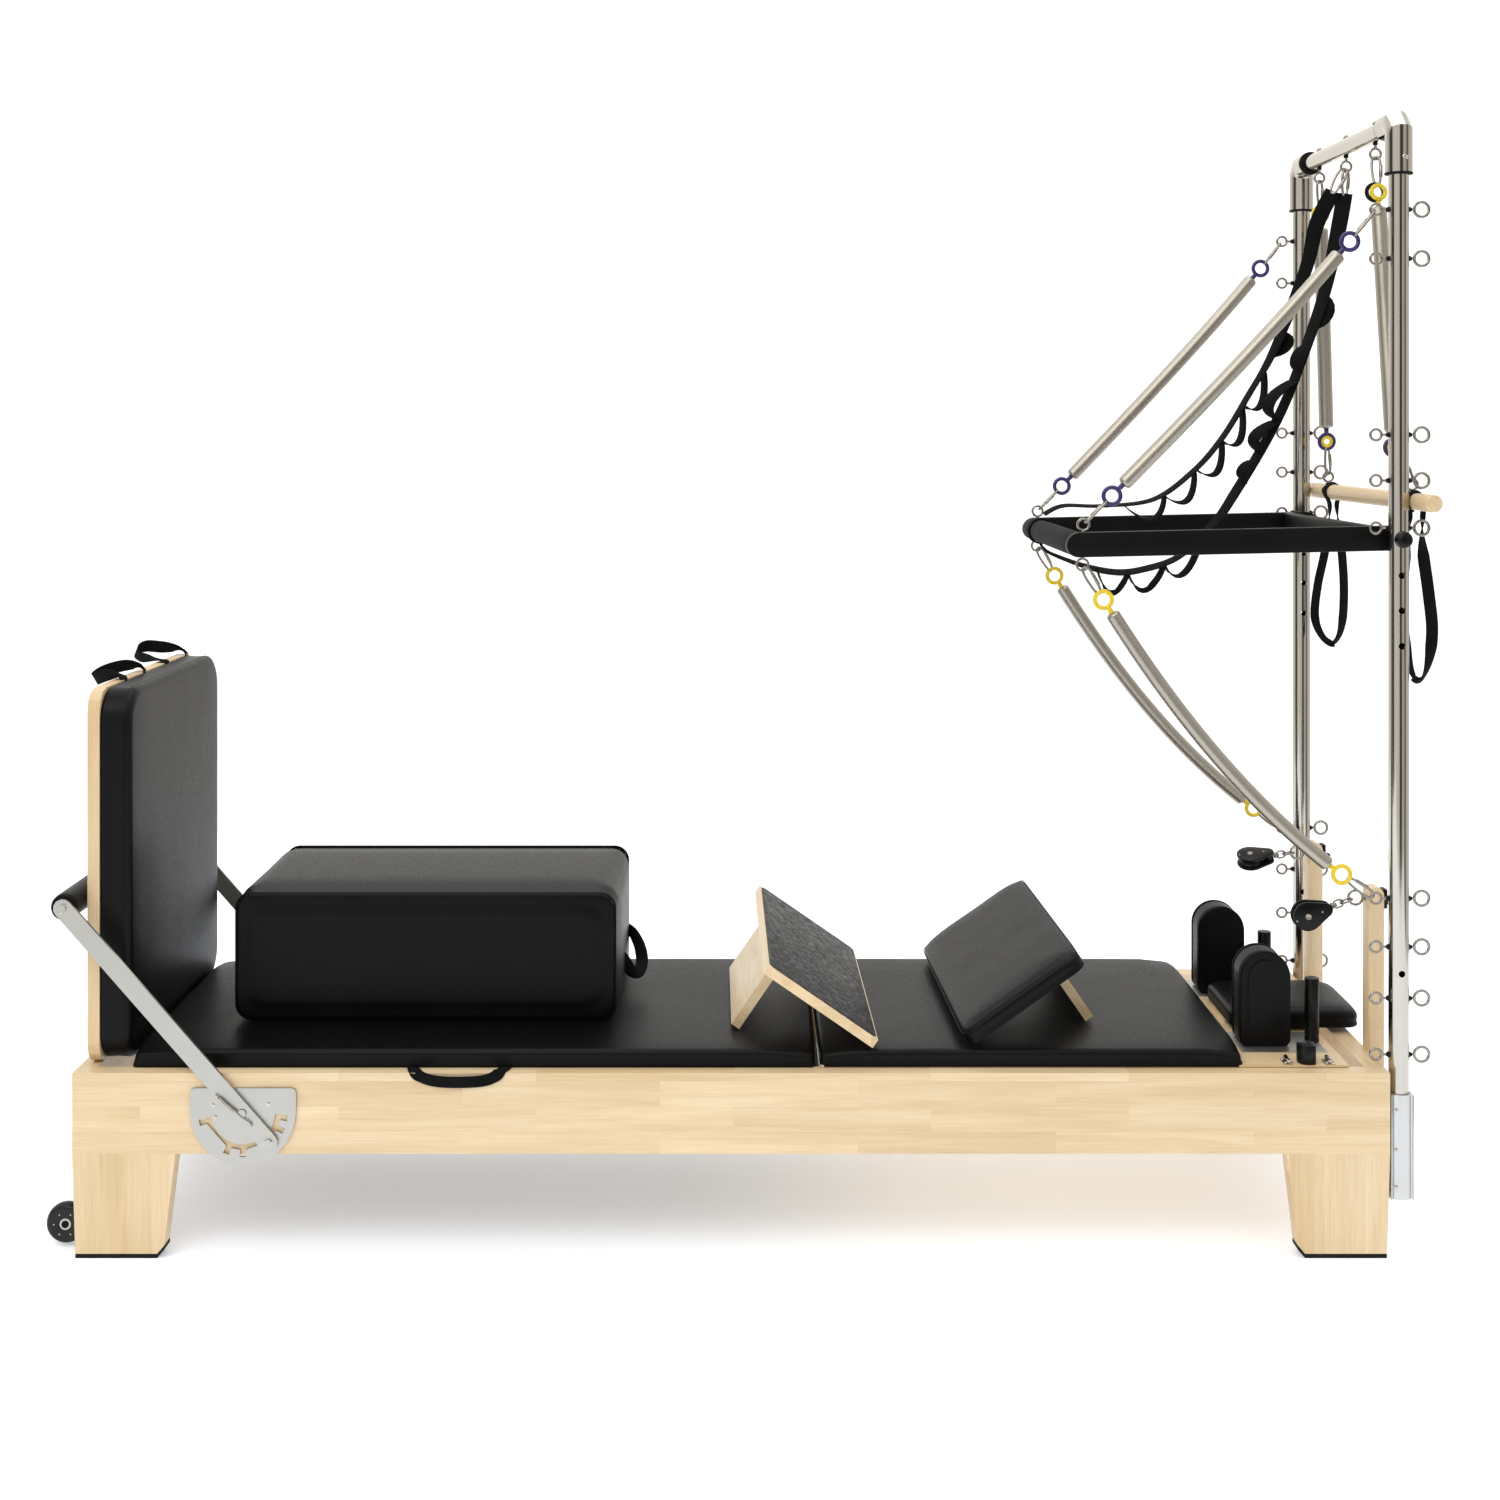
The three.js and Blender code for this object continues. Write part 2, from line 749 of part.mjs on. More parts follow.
function addJumpBoard() {
  const points = roundedOutline(jumpBoardWidth, jumpBoardHeight, jumpBoardCorner, 0, 3);
  const middle = frameTop + seatGap + jumpBoardHeight / 2;
  const panelEnd = jumpBoardStart + jumpBoardThickness;
  const panel = plateAlongX(outline(points), jumpBoardStart, panelEnd).translate(0, 0, middle);
  addPiece('jump_board_panel', panel, maple);
  const pad = crownedPad(jumpBoardWidth, jumpBoardHeight, jumpPadThickness, jumpBoardCorner, cushionCrown);
  addPiece('jump_board_pad', pad.applyMatrix4(turnedToX()).translate(panelEnd + seatGap, 0, middle), vinyl);
}

function addMat() {
  const boardHalf = cushionWidth / 2 - matBoardMargin;
  const board = boxBetween(
    matStart + matBoardMargin,
    matStart + matLength - matBoardMargin,
    -boardHalf,
    boardHalf,
    frameTop + seatGap,
    matBoardTop,
  );
  addPiece('mat_board', board, maple);
  const cushion = crownedPad(matLength, cushionWidth, matCushionThickness, cushionCorner, cushionCrown);
  cushion.translate(matStart + matLength / 2, 0, matBoardTop + seatGap);
  addPiece('mat_cushion', cushion, vinyl);
}

// Carriage platform: a lip over the rails, a core between them, blocks on the tracks, a headrest block
function carriagePlatform() {
  const end = carriageStart + carriagePlatformLength;
  const lipHalf = cushionWidth / 2;
  const coreHalf = railInner - carriageCoreGap;
  const coreBottom = platformBottom - carriageCoreThickness;
  const blockOuter = coreHalf;
  const blockInner = coreHalf - rollerBlockWidth;
  const parts = [boxBetween(carriageStart, end, -coreHalf, coreHalf, coreBottom, platformBottom + fuseDepth)];
  const blockStarts = [carriageStart + rollerBlockMargin, end - rollerBlockMargin - rollerBlockLength];
  for (const start of blockStarts) {
    for (const side of sides) {
      const block = boxBetween(
        start,
        start + rollerBlockLength,
        -blockOuter,
        -blockInner,
        trackTop + seatGap,
        coreBottom + fuseDepth,
      );
      parts.push(onSide(side, block));
    }
  }
  const hingeStart = carriageStart + carriageCushionLength + headrestGap;
  const blockHalf = headrestWidth / 4;
  parts.push(boxBetween(
    hingeStart,
    hingeStart + headrestBlockLength,
    -blockHalf,
    blockHalf,
    platformTop - fuseDepth,
    platformTop + headrestBlockHeight,
  ));
  return joined(boxBetween(carriageStart, end, -lipHalf, lipHalf, platformBottom, platformTop), ...parts);
}

// Shoulder rest: an upright pad with a half-round top
function shoulderRest() {
  const half = shoulderRestWidth / 2;
  const straight = shoulderRestHeight / 2 - half;
  const corner = half / 3;
  const points = [
    ...arcPoints(0, straight, half, 0, 180, 6),
    ...arcPoints(corner - half, corner - shoulderRestHeight / 2, corner, 180, 270, 2),
    ...arcPoints(half - corner, corner - shoulderRestHeight / 2, corner, 270, 360, 2),
  ];
  const pad = crownedBothWays(points, half, shoulderRestHeight / 2, shoulderRestThickness);
  pad.rotateX(quarterTurn);
  const nearFace = (shoulderRestSpacing + shoulderRestThickness) / 2;
  const z = platformTop + seatGap + shoulderRestHeight / 2;
  return pad.translate(shoulderRestStart + half, shoulderRestThickness - nearFace, z);
}

function addCarriage() {
  addPiece('carriage_platform', carriagePlatform(), maple);
  const cushion = crownedPad(
    carriageCushionLength,
    cushionWidth,
    carriageCushionThickness,
    cushionCorner,
    cushionCrown,
  );
  cushion.translate(carriageStart + carriageCushionLength / 2, 0, platformTop + seatGap);
  addPiece('carriage_cushion', cushion, vinyl);
  const postX = carriageStart + carriageCushionLength + strapPostGap;
  const postY = -shoulderRestSpacing / 2;
  const postBottom = platformTop + seatGap;
  for (const side of sides) {
    addPiece(`shoulder_rest_${side.name}`, onSide(side, shoulderRest()), vinyl);
    const post = rodAlongZ(strapPostRadius, postX, postY, postBottom, postBottom + strapPostHeight, 14);
    addPiece(`strap_post_${side.name}`, onSide(side, post), blackPlastic);
  }
  const headrest = crownedPad(headrestLength, headrestWidth, headrestThickness, cushionCorner, cushionCrown);
  const headrestX = carriageStart + carriageCushionLength + headrestGap + headrestLength / 2;
  headrest.translate(headrestX, 0, platformTop + headrestBlockHeight + seatGap);
  addPiece('headrest', headrest, vinyl);
}

function addSittingBox() {
  const box = crownedPad(boxLength, boxDepth, boxHeight, cushionCorner, cushionCrown, cushionCrown);
  box.translate(boxPlace + boxLength / 2, boxShift, cushionTop + seatGap);
  addPiece('sitting_box', box, vinyl);
}

// A point on an incline: a distance up it and a lift off it, rising towards +X or -X
function inclinePoint(place, rise, distance, lift) {
  const angle = THREE.MathUtils.degToRad(inclineDegrees);
  return new THREE.Vector2(
    place + rise * (distance * Math.cos(angle) - lift * Math.sin(angle)),
    cushionTop + seatGap + distance * Math.sin(angle) + lift * Math.cos(angle),
  );
}

function inclineShape(place, rise, start, end, low, high) {
  return outline([
    inclinePoint(place, rise, start, low),
    inclinePoint(place, rise, end, low),
    inclinePoint(place, rise, end, high),
    inclinePoint(place, rise, start, high),
  ]);
}

// Turns a loose piece about the point where its low edge crosses the centre plane
function turnedAt(geometry, place, degrees) {
  return geometry.translate(-place, 0, 0).rotateZ(THREE.MathUtils.degToRad(degrees)).translate(place, 0, 0);
}

// The leg stands square to its panel and reaches down to the same surface
function inclineLeg(place, rise, legPlace, legWidth, legThickness) {
  const angle = THREE.MathUtils.degToRad(inclineDegrees);
  const height = legPlace * Math.tan(angle);
  const shape = inclineShape(place, rise, legPlace, legPlace + legThickness, -height, -seatGap);
  return plateAlongY(shape, -legWidth / 2, legWidth / 2);
}

function addSlantBoard() {
  const shape = inclineShape(slantBoardPlace, -1, 0, slantBoardLength, 0, slantBoardThickness);
  const panel = plateAlongY(shape, -inclineWidth / 2, inclineWidth / 2);
  const leg = inclineLeg(slantBoardPlace, -1, slantLegPlace, slantLegWidth, slantLegThickness);
  addPiece('slant_board', turnedAt(panel, slantBoardPlace, slantBoardTurnDegrees), maple);
  addPiece('slant_board_leg', turnedAt(leg, slantBoardPlace, slantBoardTurnDegrees), maple);
}

function addWedge() {
  const pad = crownedPad(wedgeLength, inclineWidth, wedgeThickness, cushionCorner, wedgeCrown);
  pad.translate(wedgeLength / 2, 0, 0);
  pad.rotateY(-THREE.MathUtils.degToRad(inclineDegrees));
  pad.translate(wedgePlace, 0, cushionTop + seatGap);
  const leg = inclineLeg(wedgePlace, 1, wedgeLegPlace, wedgeLegWidth, wedgeLegThickness);
  addPiece('wedge_cushion', turnedAt(pad, wedgePlace, wedgeTurnDegrees), vinyl);
  addPiece('wedge_leg', turnedAt(leg, wedgePlace, wedgeTurnDegrees), maple);
}

// An eyebolt's ring and shank on the -X side of an axis
function eyeTowardsFoot(x, y, z, reach) {
  return [
    ringAt(eyeRadius, eyeWireRadius, x - reach, y, z),
    rodAlongX(eyeShankRadius, y, z, x - reach + eyeRadius - eyeWireRadius / 2, x - uprightRadius + tubeWall / 2, 6),
  ];
}

function uprightTube() {
  const inner = uprightRadius - tubeWall;
  const profile = [
    [inner, uprightBottom],
    [uprightRadius, uprightBottom],
    [uprightRadius, uprightTop],
    [inner, uprightTop],
    [inner, uprightBottom],
  ].map(([r, z]) => new THREE.Vector2(r, z));
  return new THREE.LatheGeometry(profile, tubeCorners).rotateX(quarterTurn).translate(towerPlace, -uprightY, 0);
}

function addUprights() {
  const holes = [...pinHoleHeights, pushBarPivotHeight].map((z) => rodAlongY(
    z === pushBarPivotHeight ? pushBarPinRadius + pushBarPinGap : pinHoleRadius,
    towerPlace,
    z,
    -uprightY - uprightRadius - cutOverrun,
    -uprightY + uprightRadius + cutOverrun,
    8,
  ));
  const eyes = [armSpringEyeHeight, legSpringEyeHeight].flatMap(
    (z) => eyeTowardsFoot(towerPlace, -uprightY, z, uprightEyeReach),
  );
  const upright = joined(carved(uprightTube(), ...holes), ...eyes);
  const socketProfile = [
    [0, socketBottom],
    [socketRadius, socketBottom],
    [socketRadius, socketBottom + socketLength],
    [uprightRadius + seatGap, socketBottom + socketLength],
    [uprightRadius + seatGap, uprightBottom - seatGap],
    [0, uprightBottom - seatGap],
  ].map(([r, z]) => new THREE.Vector2(r, z));
  const socket = new THREE.LatheGeometry(socketProfile, tubeCorners).rotateX(quarterTurn);
  socket.translate(towerPlace, -uprightY, 0);
  for (const side of sides) {
    addPiece(`upright_${side.name}`, onSide(side, upright), chrome);
    addPiece(`socket_${side.name}`, onSide(side, socket), aluminium);
  }
}

// Corner elbow: a sleeve bent round the corner in three straight lengths, bored for both tubes
function elbow() {
  const slant = quarterTurn / 4;
  const stations = [
    [0, -elbowDrop, 0],
    [0, -elbowCornerCut, slant],
    [elbowCornerCut, 0, slant * 3],
    [elbowReach, 0, quarterTurn],
  ];
  const rows = stations.map(([y, z, lean]) => {
    const square = lean === 0 || lean === quarterTurn;
    const stretch = elbowRadius / (square ? 1 : Math.cos(slant));
    return arcPoints(0, 0, 1, 0, 360 - 360 / tubeCorners, tubeCorners - 1).map((corner) => new THREE.Vector3(
      corner.x * elbowRadius,
      y + corner.y * stretch * Math.cos(lean),
      z - corner.y * stretch * Math.sin(lean),
    ));
  });
  const crossbarBore = elbowRadius - crossbarInsertion;
  return carved(
    closedMesh(rows, false),
    rodAlongZ(uprightRadius + seatGap, 0, 0, -elbowDrop - cutOverrun, seatGap - uprightShortfall),
    rodAlongY(crossbarRadius + seatGap, 0, 0, -crossbarBore - seatGap, elbowReach + cutOverrun),
  ).translate(towerPlace, -uprightY, crossbarHeight);
}

function crossbar() {
  const inner = crossbarRadius - tubeWall;
  const profile = [
    [inner, -crossbarEnd],
    [crossbarRadius, -crossbarEnd],
    [crossbarRadius, crossbarEnd],
    [inner, crossbarEnd],
    [inner, -crossbarEnd],
  ].map(([r, y]) => new THREE.Vector2(r, y));
  const tube = new THREE.LatheGeometry(profile, tubeCorners).translate(towerPlace, 0, crossbarHeight);
  const parts = [];
  for (const y of [-crossbarEyeSpacing, 0, crossbarEyeSpacing]) {
    const eyeZ = crossbarHeight - crossbarEyeReach;
    parts.push(ringAt(eyeRadius, eyeWireRadius, towerPlace, y, eyeZ));
    parts.push(rodAlongZ(
      eyeShankRadius,
      towerPlace,
      y,
      eyeZ + eyeRadius - eyeWireRadius / 2,
      crossbarHeight + crossbarRadius,
      6,
    ));
    const nutBottom = crossbarHeight + crossbarRadius - fuseDepth;
    parts.push(rodAlongZ(domeNutRadius, towerPlace, y, nutBottom, nutBottom + domeNutHeight, 6));
  }
  return joined(tube, ...parts);
}

function addTowerTop() {
  for (const side of sides) {
    addPiece(`elbow_${side.name}`, onSide(side, elbow()), chrome);
  }
  addPiece('crossbar', crossbar(), chrome);
}

// Riser: a wooden post behind the end board, with the eye that its pulley hangs from
const riserY = -riserSpacing / 2;
const riserFace = frameLength + seatGap;
const riserEyeX = riserFace - riserEyeReach;
const riserEyeZ = riserTop - riserEyeDrop;
function riser() {
  const half = riserThickness / 2;
  const shape = outline([
    new THREE.Vector2(riserFace, riserBottom),
    new THREE.Vector2(riserFace + riserThickness, riserBottom),
    ...arcPoints(riserFace + half, riserTop - half, half, 0, 180, 6),
  ]);
  return joined(
    plateAlongY(shape, riserY - riserWidth / 2, riserY + riserWidth / 2),
    ringAt(eyeRadius, eyeWireRadius, riserEyeX, riserY, riserEyeZ),
    rodAlongX(eyeShankRadius, riserY, riserEyeZ, riserEyeX + eyeRadius - eyeWireRadius / 2, riserFace + fuseDepth, 6),
  );
}

// Pulley: a link through the riser's eye, a swivel and the block, drawn out along -X and tilted down.
// The block rolls on its swivel.
function pulley(tiltDegrees, rollDegrees) {
  const linkStart = eyeRadius - eyeWireRadius - hookEyeGap - hookWireRadius;
  const link = linkBetween(
    new THREE.Vector3(-linkStart, 0, 0),
    new THREE.Vector3(-pulleyLinkEnd, 0, 0),
    pulleyLinkHalfWidth,
    hookWireRadius,
    acrossFrame,
  );
  const round = pulleyBlockHeight / 2;
  const tip = round / 2;
  const blockEnd = pulleyBlockStart + pulleyBlockLength;
  const blockShape = outline([
    ...arcPoints(-pulleyBlockStart - tip, 0, tip, -60, 60, 3),
    ...arcPoints(round - blockEnd, 0, round, 75, 285, 8),
  ]);
  const block = plateAlongY(blockShape, -pulleyBlockThickness / 2, pulleyBlockThickness / 2);
  const parts = joined(
    link,
    rodAlongX(pulleySwivelRadius, 0, 0, -pulleyBlockStart - tip, -pulleyLinkEnd + hookWireRadius, 8),
    block.rotateX(THREE.MathUtils.degToRad(rollDegrees)),
  );
  parts.rotateY(-THREE.MathUtils.degToRad(tiltDegrees));
  return parts.translate(riserEyeX, riserY, riserEyeZ);
}

function addRisers() {
  for (const side of sides) {
    addPiece(`riser_${side.name}`, onSide(side, riser()), maple);
    const block = pulley(pulleyTiltDegrees[side.name], pulleyRollDegrees[side.name]);
    addPiece(`pulley_${side.name}`, onSide(side, block), blackPlastic);
  }
}

// Push-through bar, drawn along -X from its pivot
function pushBarArm() {
  const half = pushBarDepth / 2;
  const shape = outline([
    ...arcPoints(0, 0, half, -90, 90, 6),
    ...arcPoints(-pushBarReach, 0, half, 90, 270, 6),
  ]);
  const middleY = -(pushBarInner + pushBarOuter) / 2;
  const eyes = [-1, 1].map((sign) => ringAt(
    eyeRadius,
    eyeWireRadius,
    -pushBarEyePlace,
    middleY,
    sign * pushBarEyeReach,
  ));
  const knobInner = uprightY + uprightRadius + pushBarGap;
  return joined(
    plateAlongY(shape, -pushBarOuter, -pushBarInner),
    rodAlongY(pushBarPinRadius, 0, 0, -knobInner - fuseDepth, -pushBarOuter + fuseDepth, 8),
    rodAlongY(pushBarKnobRadius, 0, 0, -knobInner - pushBarKnobThickness, -knobInner, 14),
    ...eyes,
  );
}

function addPushBar() {
  const bar = new THREE.Group();
  bar.position.set(towerPlace, 0, pushBarPivotHeight);
  bar.rotation.y = -THREE.MathUtils.degToRad(pushBarDroopDegrees);
  assembly.add(bar);
  for (const side of sides) {
    addPiece(`push_bar_arm_${side.name}`, onSide(side, pushBarArm()), blackSteel, bar);
  }
  const inner = pushBarInner - seatGap;
  const half = pushBarDepth / 2;
  addPiece('push_bar_grip', rodAlongY(half, -pushBarReach, 0, -inner, inner), vinyl, bar);
  const brace = boxBetween(
    -pushBarBracePlace - pushBarThickness / 2,
    -pushBarBracePlace + pushBarThickness / 2,
    -inner,
    inner,
    -half,
    half,
  );
  addPiece('push_bar_brace', brace, blackSteel, bar);
}

function rollDownEye(side) {
  const y = rollDownEyeShift + side.sign * rollDownEyeSpacing / 2;
  return new THREE.Vector3(rollDownPlace, y, rollDownHeight + rollDownEyeReach);
}

// Roll-down bar: a wooden dowel with two eyes on top
function addRollDownBar() {
  const halfLength = rollDownLength / 2;
  const parts = [];
  for (const side of sides) {
    const eye = rollDownEye(side);
    const shankTop = eye.z - eyeRadius + eyeWireRadius / 2;
    parts.push(rodAlongZ(eyeShankRadius, eye.x, eye.y, rollDownHeight, shankTop, 6));
    parts.push(ringAt(eyeRadius, eyeWireRadius, eye.x, eye.y, eye.z));
  }
  const dowel = rodAlongY(rollDownRadius, rollDownPlace, rollDownHeight, -halfLength, halfLength);
  addPiece('roll_down_bar', joined(dowel, ...parts), maple);
}

// Where the springs hook on
const angleOfDroop = THREE.MathUtils.degToRad(pushBarDroopDegrees);
function pushBarEye(sign) {
  const middleY = -(pushBarInner + pushBarOuter) / 2;
  const place = new THREE.Vector3(-pushBarEyePlace, middleY, sign * pushBarEyeReach);
  place.applyAxisAngle(acrossFrame, -angleOfDroop);
  return place.add(new THREE.Vector3(towerPlace, 0, pushBarPivotHeight));
}

const uprightEye = (z) => new THREE.Vector3(towerPlace - uprightEyeReach, -uprightY, z);
const crossbarEye = (y) => new THREE.Vector3(towerPlace, y, crossbarHeight - crossbarEyeReach);

// A coil wound round a centre line, with straight tails on that line
const curlSteps = 8;
function coilPoints(line, from, to, radius, curls) {
  const points = [];
  const steps = curls * curlSteps;
  const tail = springCoilPlace - springRingPlace - springRingRadius + springRingWireRadius / 2;
  const place = (distance) => line.getPointAt(distance / line.getLength());
  points.push(place(from - tail), place(from - springTailLength));
  for (let i = 0; i <= steps; i += 1) {
    const share = i / steps;
    const distance = THREE.MathUtils.lerp(from, to, share);
    const tangent = line.getTangentAt(distance / line.getLength());
    const out = tangent.clone().cross(acrossFrame).normalize();
    const side = tangent.clone().cross(out);
    const angle = halfTurn * 2 * i / curlSteps;
    const ramp = Math.min(i, steps - i, curlSteps / 2) / (curlSteps / 2);
    points.push(place(distance)
      .addScaledVector(out, radius * ramp * Math.cos(angle))
      .addScaledVector(side, radius * ramp * Math.sin(angle)));
  }
  points.push(place(to + springTailLength), place(to + tail));
  return points;
}

// The least gap between turns of one wire, measured on its points
function leastGap(points, wireRadius) {
  let least = Infinity;
  for (let i = 0; i < points.length; i += 1) {
    for (let j = i + curlSteps / 2; j < points.length; j += 1) {
      least = Math.min(least, points[i].distanceTo(points[j]) - 2 * wireRadius);
    }
  }
  return least;
}

// A spring with a colour ring and a snap hook at each end, hooked between the two ends of a line
function springAlong(name, line, radius, curls) {
  const length = line.getLength();
  const coilRadius = radius - springWireRadius;
  const points = coilPoints(line, springCoilPlace, length - springCoilPlace, coilRadius, curls);
  console.log(`${name}: least gap between its curls ${leastGap(points, springWireRadius).toFixed(2)} mm`);
  const firstAcross = line.getTangentAt(0).cross(acrossFrame).normalize();
  const parts = [wire(points, springWireRadius, 5, firstAcross)];
  const hookStart = eyeRadius - eyeWireRadius - hookEyeGap - hookWireRadius;
  const ringEdge = springRingPlace - springRingRadius;
  const hookEnd = ringEdge + springRingWireRadius + hookWireRadius - fuseDepth;
  for (const atEnd of [false, true]) {
    const at = (distance) => line.getPointAt((atEnd ? length - distance : distance) / length);
    const tangent = line.getTangentAt(atEnd ? 1 - springRingPlace / length : springRingPlace / length);
    const out = tangent.clone().cross(acrossFrame).normalize();
    const axis = tangent.clone().cross(out);
    const ring = new THREE.TorusGeometry(springRingRadius, springRingWireRadius, 4, 9);
    ring.applyMatrix4(new THREE.Matrix4().makeBasis(tangent, out, axis));
    ring.translate(...at(springRingPlace).toArray());
    parts.push(ring, linkBetween(at(hookStart), at(hookEnd), hookHalfWidth, hookWireRadius, axis));
  }
  return joined(...parts);
}

// A spring that hangs straight down to its lower ring, where the hook leans over to the bar's eye
function hangingLine(side) {
  const top = crossbarEye(side.sign * crossbarEyeSpacing);
  const low = rollDownEye(side);
  const lean = new THREE.Vector3(...hangingHookLeanShares[side.name]).setLength(springRingPlace);
  const ring = low.clone().add(lean);
  const line = new THREE.CurvePath();
  line.add(new THREE.LineCurve3(top, ring));
  line.add(new THREE.LineCurve3(ring, low));
  return line;
}

function addSprings() {
  const pushTop = pushBarEye(1);
  const pushBottom = pushBarEye(-1);
  const armTop = uprightEye(armSpringEyeHeight);
  const legLow = uprightEye(legSpringEyeHeight);
  const armSag = armTop.clone().lerp(pushTop, armSpringSagShare);
  armSag.add(new THREE.Vector3(armSpringSagRun, 0, -armSpringSagDrop));
  const legSag = pushBottom.clone().add(new THREE.Vector3(legSpringSagRun, 0, -legSpringSagDrop));
  legSag.y = (pushBottom.y + legLow.y) / 2;
  const armLine = new THREE.QuadraticBezierCurve3(armTop, armSag, pushTop);
  const legLine = new THREE.QuadraticBezierCurve3(pushBottom, legSag, legLow);
  const armSpring = springAlong('arm_spring', armLine, armSpringRadius, armSpringCurls);
  const legSpring = springAlong('leg_spring', legLine, legSpringRadius, legSpringCurls);
  for (const side of sides) {
    const hanging = springAlong('hanging_spring', hangingLine(side), hangingSpringRadius, hangingSpringCurls);
    addPiece(`arm_spring_${side.name}`, onSide(side, armSpring), brushedSteel);
    addPiece(`leg_spring_${side.name}`, onSide(side, legSpring), brushedSteel);
    addPiece(`hanging_spring_${side.name}`, hanging, brushedSteel);
  }
}

// Routes of the multi-loop straps, as shares of the way from the hook to the grip along X, Y and Z
const upperStrapRouteShares = [
  [0, 0, 0],
  [0.06, 0.11, 0.1],
  [0.1, 0.26, 0.28],
  [0.18, 0.44, 0.48],
  [0.27, 0.55, 0.62],
  [0.37, 0.66, 0.76],
  [0.48, 0.77, 0.86],
  [0.62, 0.88, 0.93],
  [0.8, 0.95, 0.95],
  [0.93, 1, 0.96],
  [1, 1, 1],
];
const lowerStrapRouteShares = [
  [0, 0, 0],
  [0.07, -0.12, 0.26],
  [0.14, -0.2, 0.44],
  [0.22, -0.26, 0.58],
  [0.3, -0.34, 0.71],
  [0.4, -0.42, 0.84],
  [0.49, -0.48, 0.95],
  [0.6, -0.5, 1.03],
  [0.68, -0.28, 1.07],
  [0.77, 0.12, 1.09],
  [0.86, 0.6, 1.08],
  [0.94, 1, 1.05],
  [1, 1, 1],
];
const upperStrapTurnShares = [0.2, 0.5];
const lowerStrapTurnShares = [0.45, 0.65];
// Where the first loop starts, where the last one ends and how many there are
const upperStrapLoopShares = [0.42, 0.86, 5];
const lowerStrapLoopShares = [0.25, 0.58, 4];
const strapSection = () => [
  new THREE.Vector2(-strapWidth / 2, -strapThickness / 2),
  new THREE.Vector2(strapWidth / 2, -strapThickness / 2),
  new THREE.Vector2(strapWidth / 2, strapThickness / 2),
  new THREE.Vector2(-strapWidth / 2, strapThickness / 2),
];

// The web faces the camera side at the top and turns edge on further down
function strapAcross(share, tangent, turnStartShare, turnEndShare) {
  const inPlane = tangent.clone().cross(acrossFrame).normalize();
  const turn = THREE.MathUtils.smoothstep(share, turnStartShare, turnEndShare) * quarterTurn;
  return inPlane.multiplyScalar(Math.cos(turn)).addScaledVector(acrossFrame, Math.sin(turn));
}

function strapLine(routeShares, start, end) {
  const span = end.clone().sub(start);
  return new THREE.CatmullRomCurve3(routeShares.map(
    ([x, y, z]) => start.clone().add(new THREE.Vector3(span.x * x, span.y * y, span.z * z)),
  ));
}

// One sewn loop: a second web that bows away from the strap between two stitched places
function strapLoop(line, fromShare, toShare, bulge, acrossOf) {
  const steps = 4;
  const points = [];
  for (let i = 0; i <= steps; i += 1) {
    const share = THREE.MathUtils.lerp(fromShare, toShare, i / steps);
    const tangent = line.getTangentAt(share);
    const out = tangent.clone().cross(acrossFrame).normalize();
    const lift = bulge * Math.sin(halfTurn * i / steps);
    points.push(line.getPointAt(share).addScaledVector(out, lift));
  }
  const middle = (fromShare + toShare) / 2;
  const across = acrossOf(middle, line.getTangentAt(middle));
  return sweep(points, strapSection(), () => across);
}

function multiLoopStrap(line, turnShares, loopShares, bulge, hookDirection) {
  const steps = 15;
  const acrossOf = (share, tangent) => strapAcross(share, tangent, turnShares[0], turnShares[1]);
  const band = sweep(
    line.getSpacedPoints(steps),
    strapSection(),
    (share, tangent) => acrossOf(share, tangent ?? line.getTangentAt(0)),
  );
  const parts = [band];
  const [firstShare, lastShare, loops] = loopShares;
  for (let i = 0; i < loops; i += 1) {
    const from = THREE.MathUtils.lerp(firstShare, lastShare, i / loops);
    const to = THREE.MathUtils.lerp(firstShare, lastShare, (i + 1) / loops);
    parts.push(strapLoop(line, from, to, bulge, acrossOf));
  }
  const eye = crossbarEye(0);
  const hookStart = eyeRadius - eyeWireRadius - strapHookGap - hookWireRadius;
  parts.push(linkBetween(
    eye.clone().addScaledVector(hookDirection, hookStart),
    eye.clone().addScaledVector(hookDirection, strapHookLength + strapThickness),
    hookHalfWidth,
    hookWireRadius,
    acrossFrame,
  ));
  return joined(...parts);
}

function addStraps() {
  const gripCentre = new THREE.Vector3(-pushBarReach, strapWrapShift, 0).applyAxisAngle(acrossFrame, -angleOfDroop);
  gripCentre.add(new THREE.Vector3(towerPlace, 0, pushBarPivotHeight));
  const clear = pushBarDepth / 2 + strapThickness / 2 + strapWrapGap;
  const hookDirection = (degrees) => new THREE.Vector3(0, 0, -1)
    .applyAxisAngle(acrossFrame, THREE.MathUtils.degToRad(degrees));
  const straps = [
    ['upper', upperStrapHookDegrees, 1, upperStrapRouteShares, upperStrapTurnShares, upperStrapLoopShares],
    ['lower', lowerStrapHookDegrees, -1, lowerStrapRouteShares, lowerStrapTurnShares, lowerStrapLoopShares],
  ];
  for (const [name, degrees, above, routeShares, turnShares, loopShares] of straps) {
    const direction = hookDirection(degrees);
    const start = crossbarEye(0).addScaledVector(direction, strapHookLength);
    const end = gripCentre.clone().add(new THREE.Vector3(0, 0, above * clear));
    const line = strapLine(routeShares, start, end);
    const strap = multiLoopStrap(line, turnShares, loopShares, above * strapLoopBulge, direction);
    addPiece(`multi_loop_strap_${name}`, strap, webbing);
  }
}

addFrame();
addTransportWheels();
addFootbar();
addJumpBoard();
addMat();
addCarriage();
addSittingBox();
addSlantBoard();
addWedge();
addUprights();
addTowerTop();
addRisers();
addPushBar();
addRollDownBar();
addSprings();
addStraps();

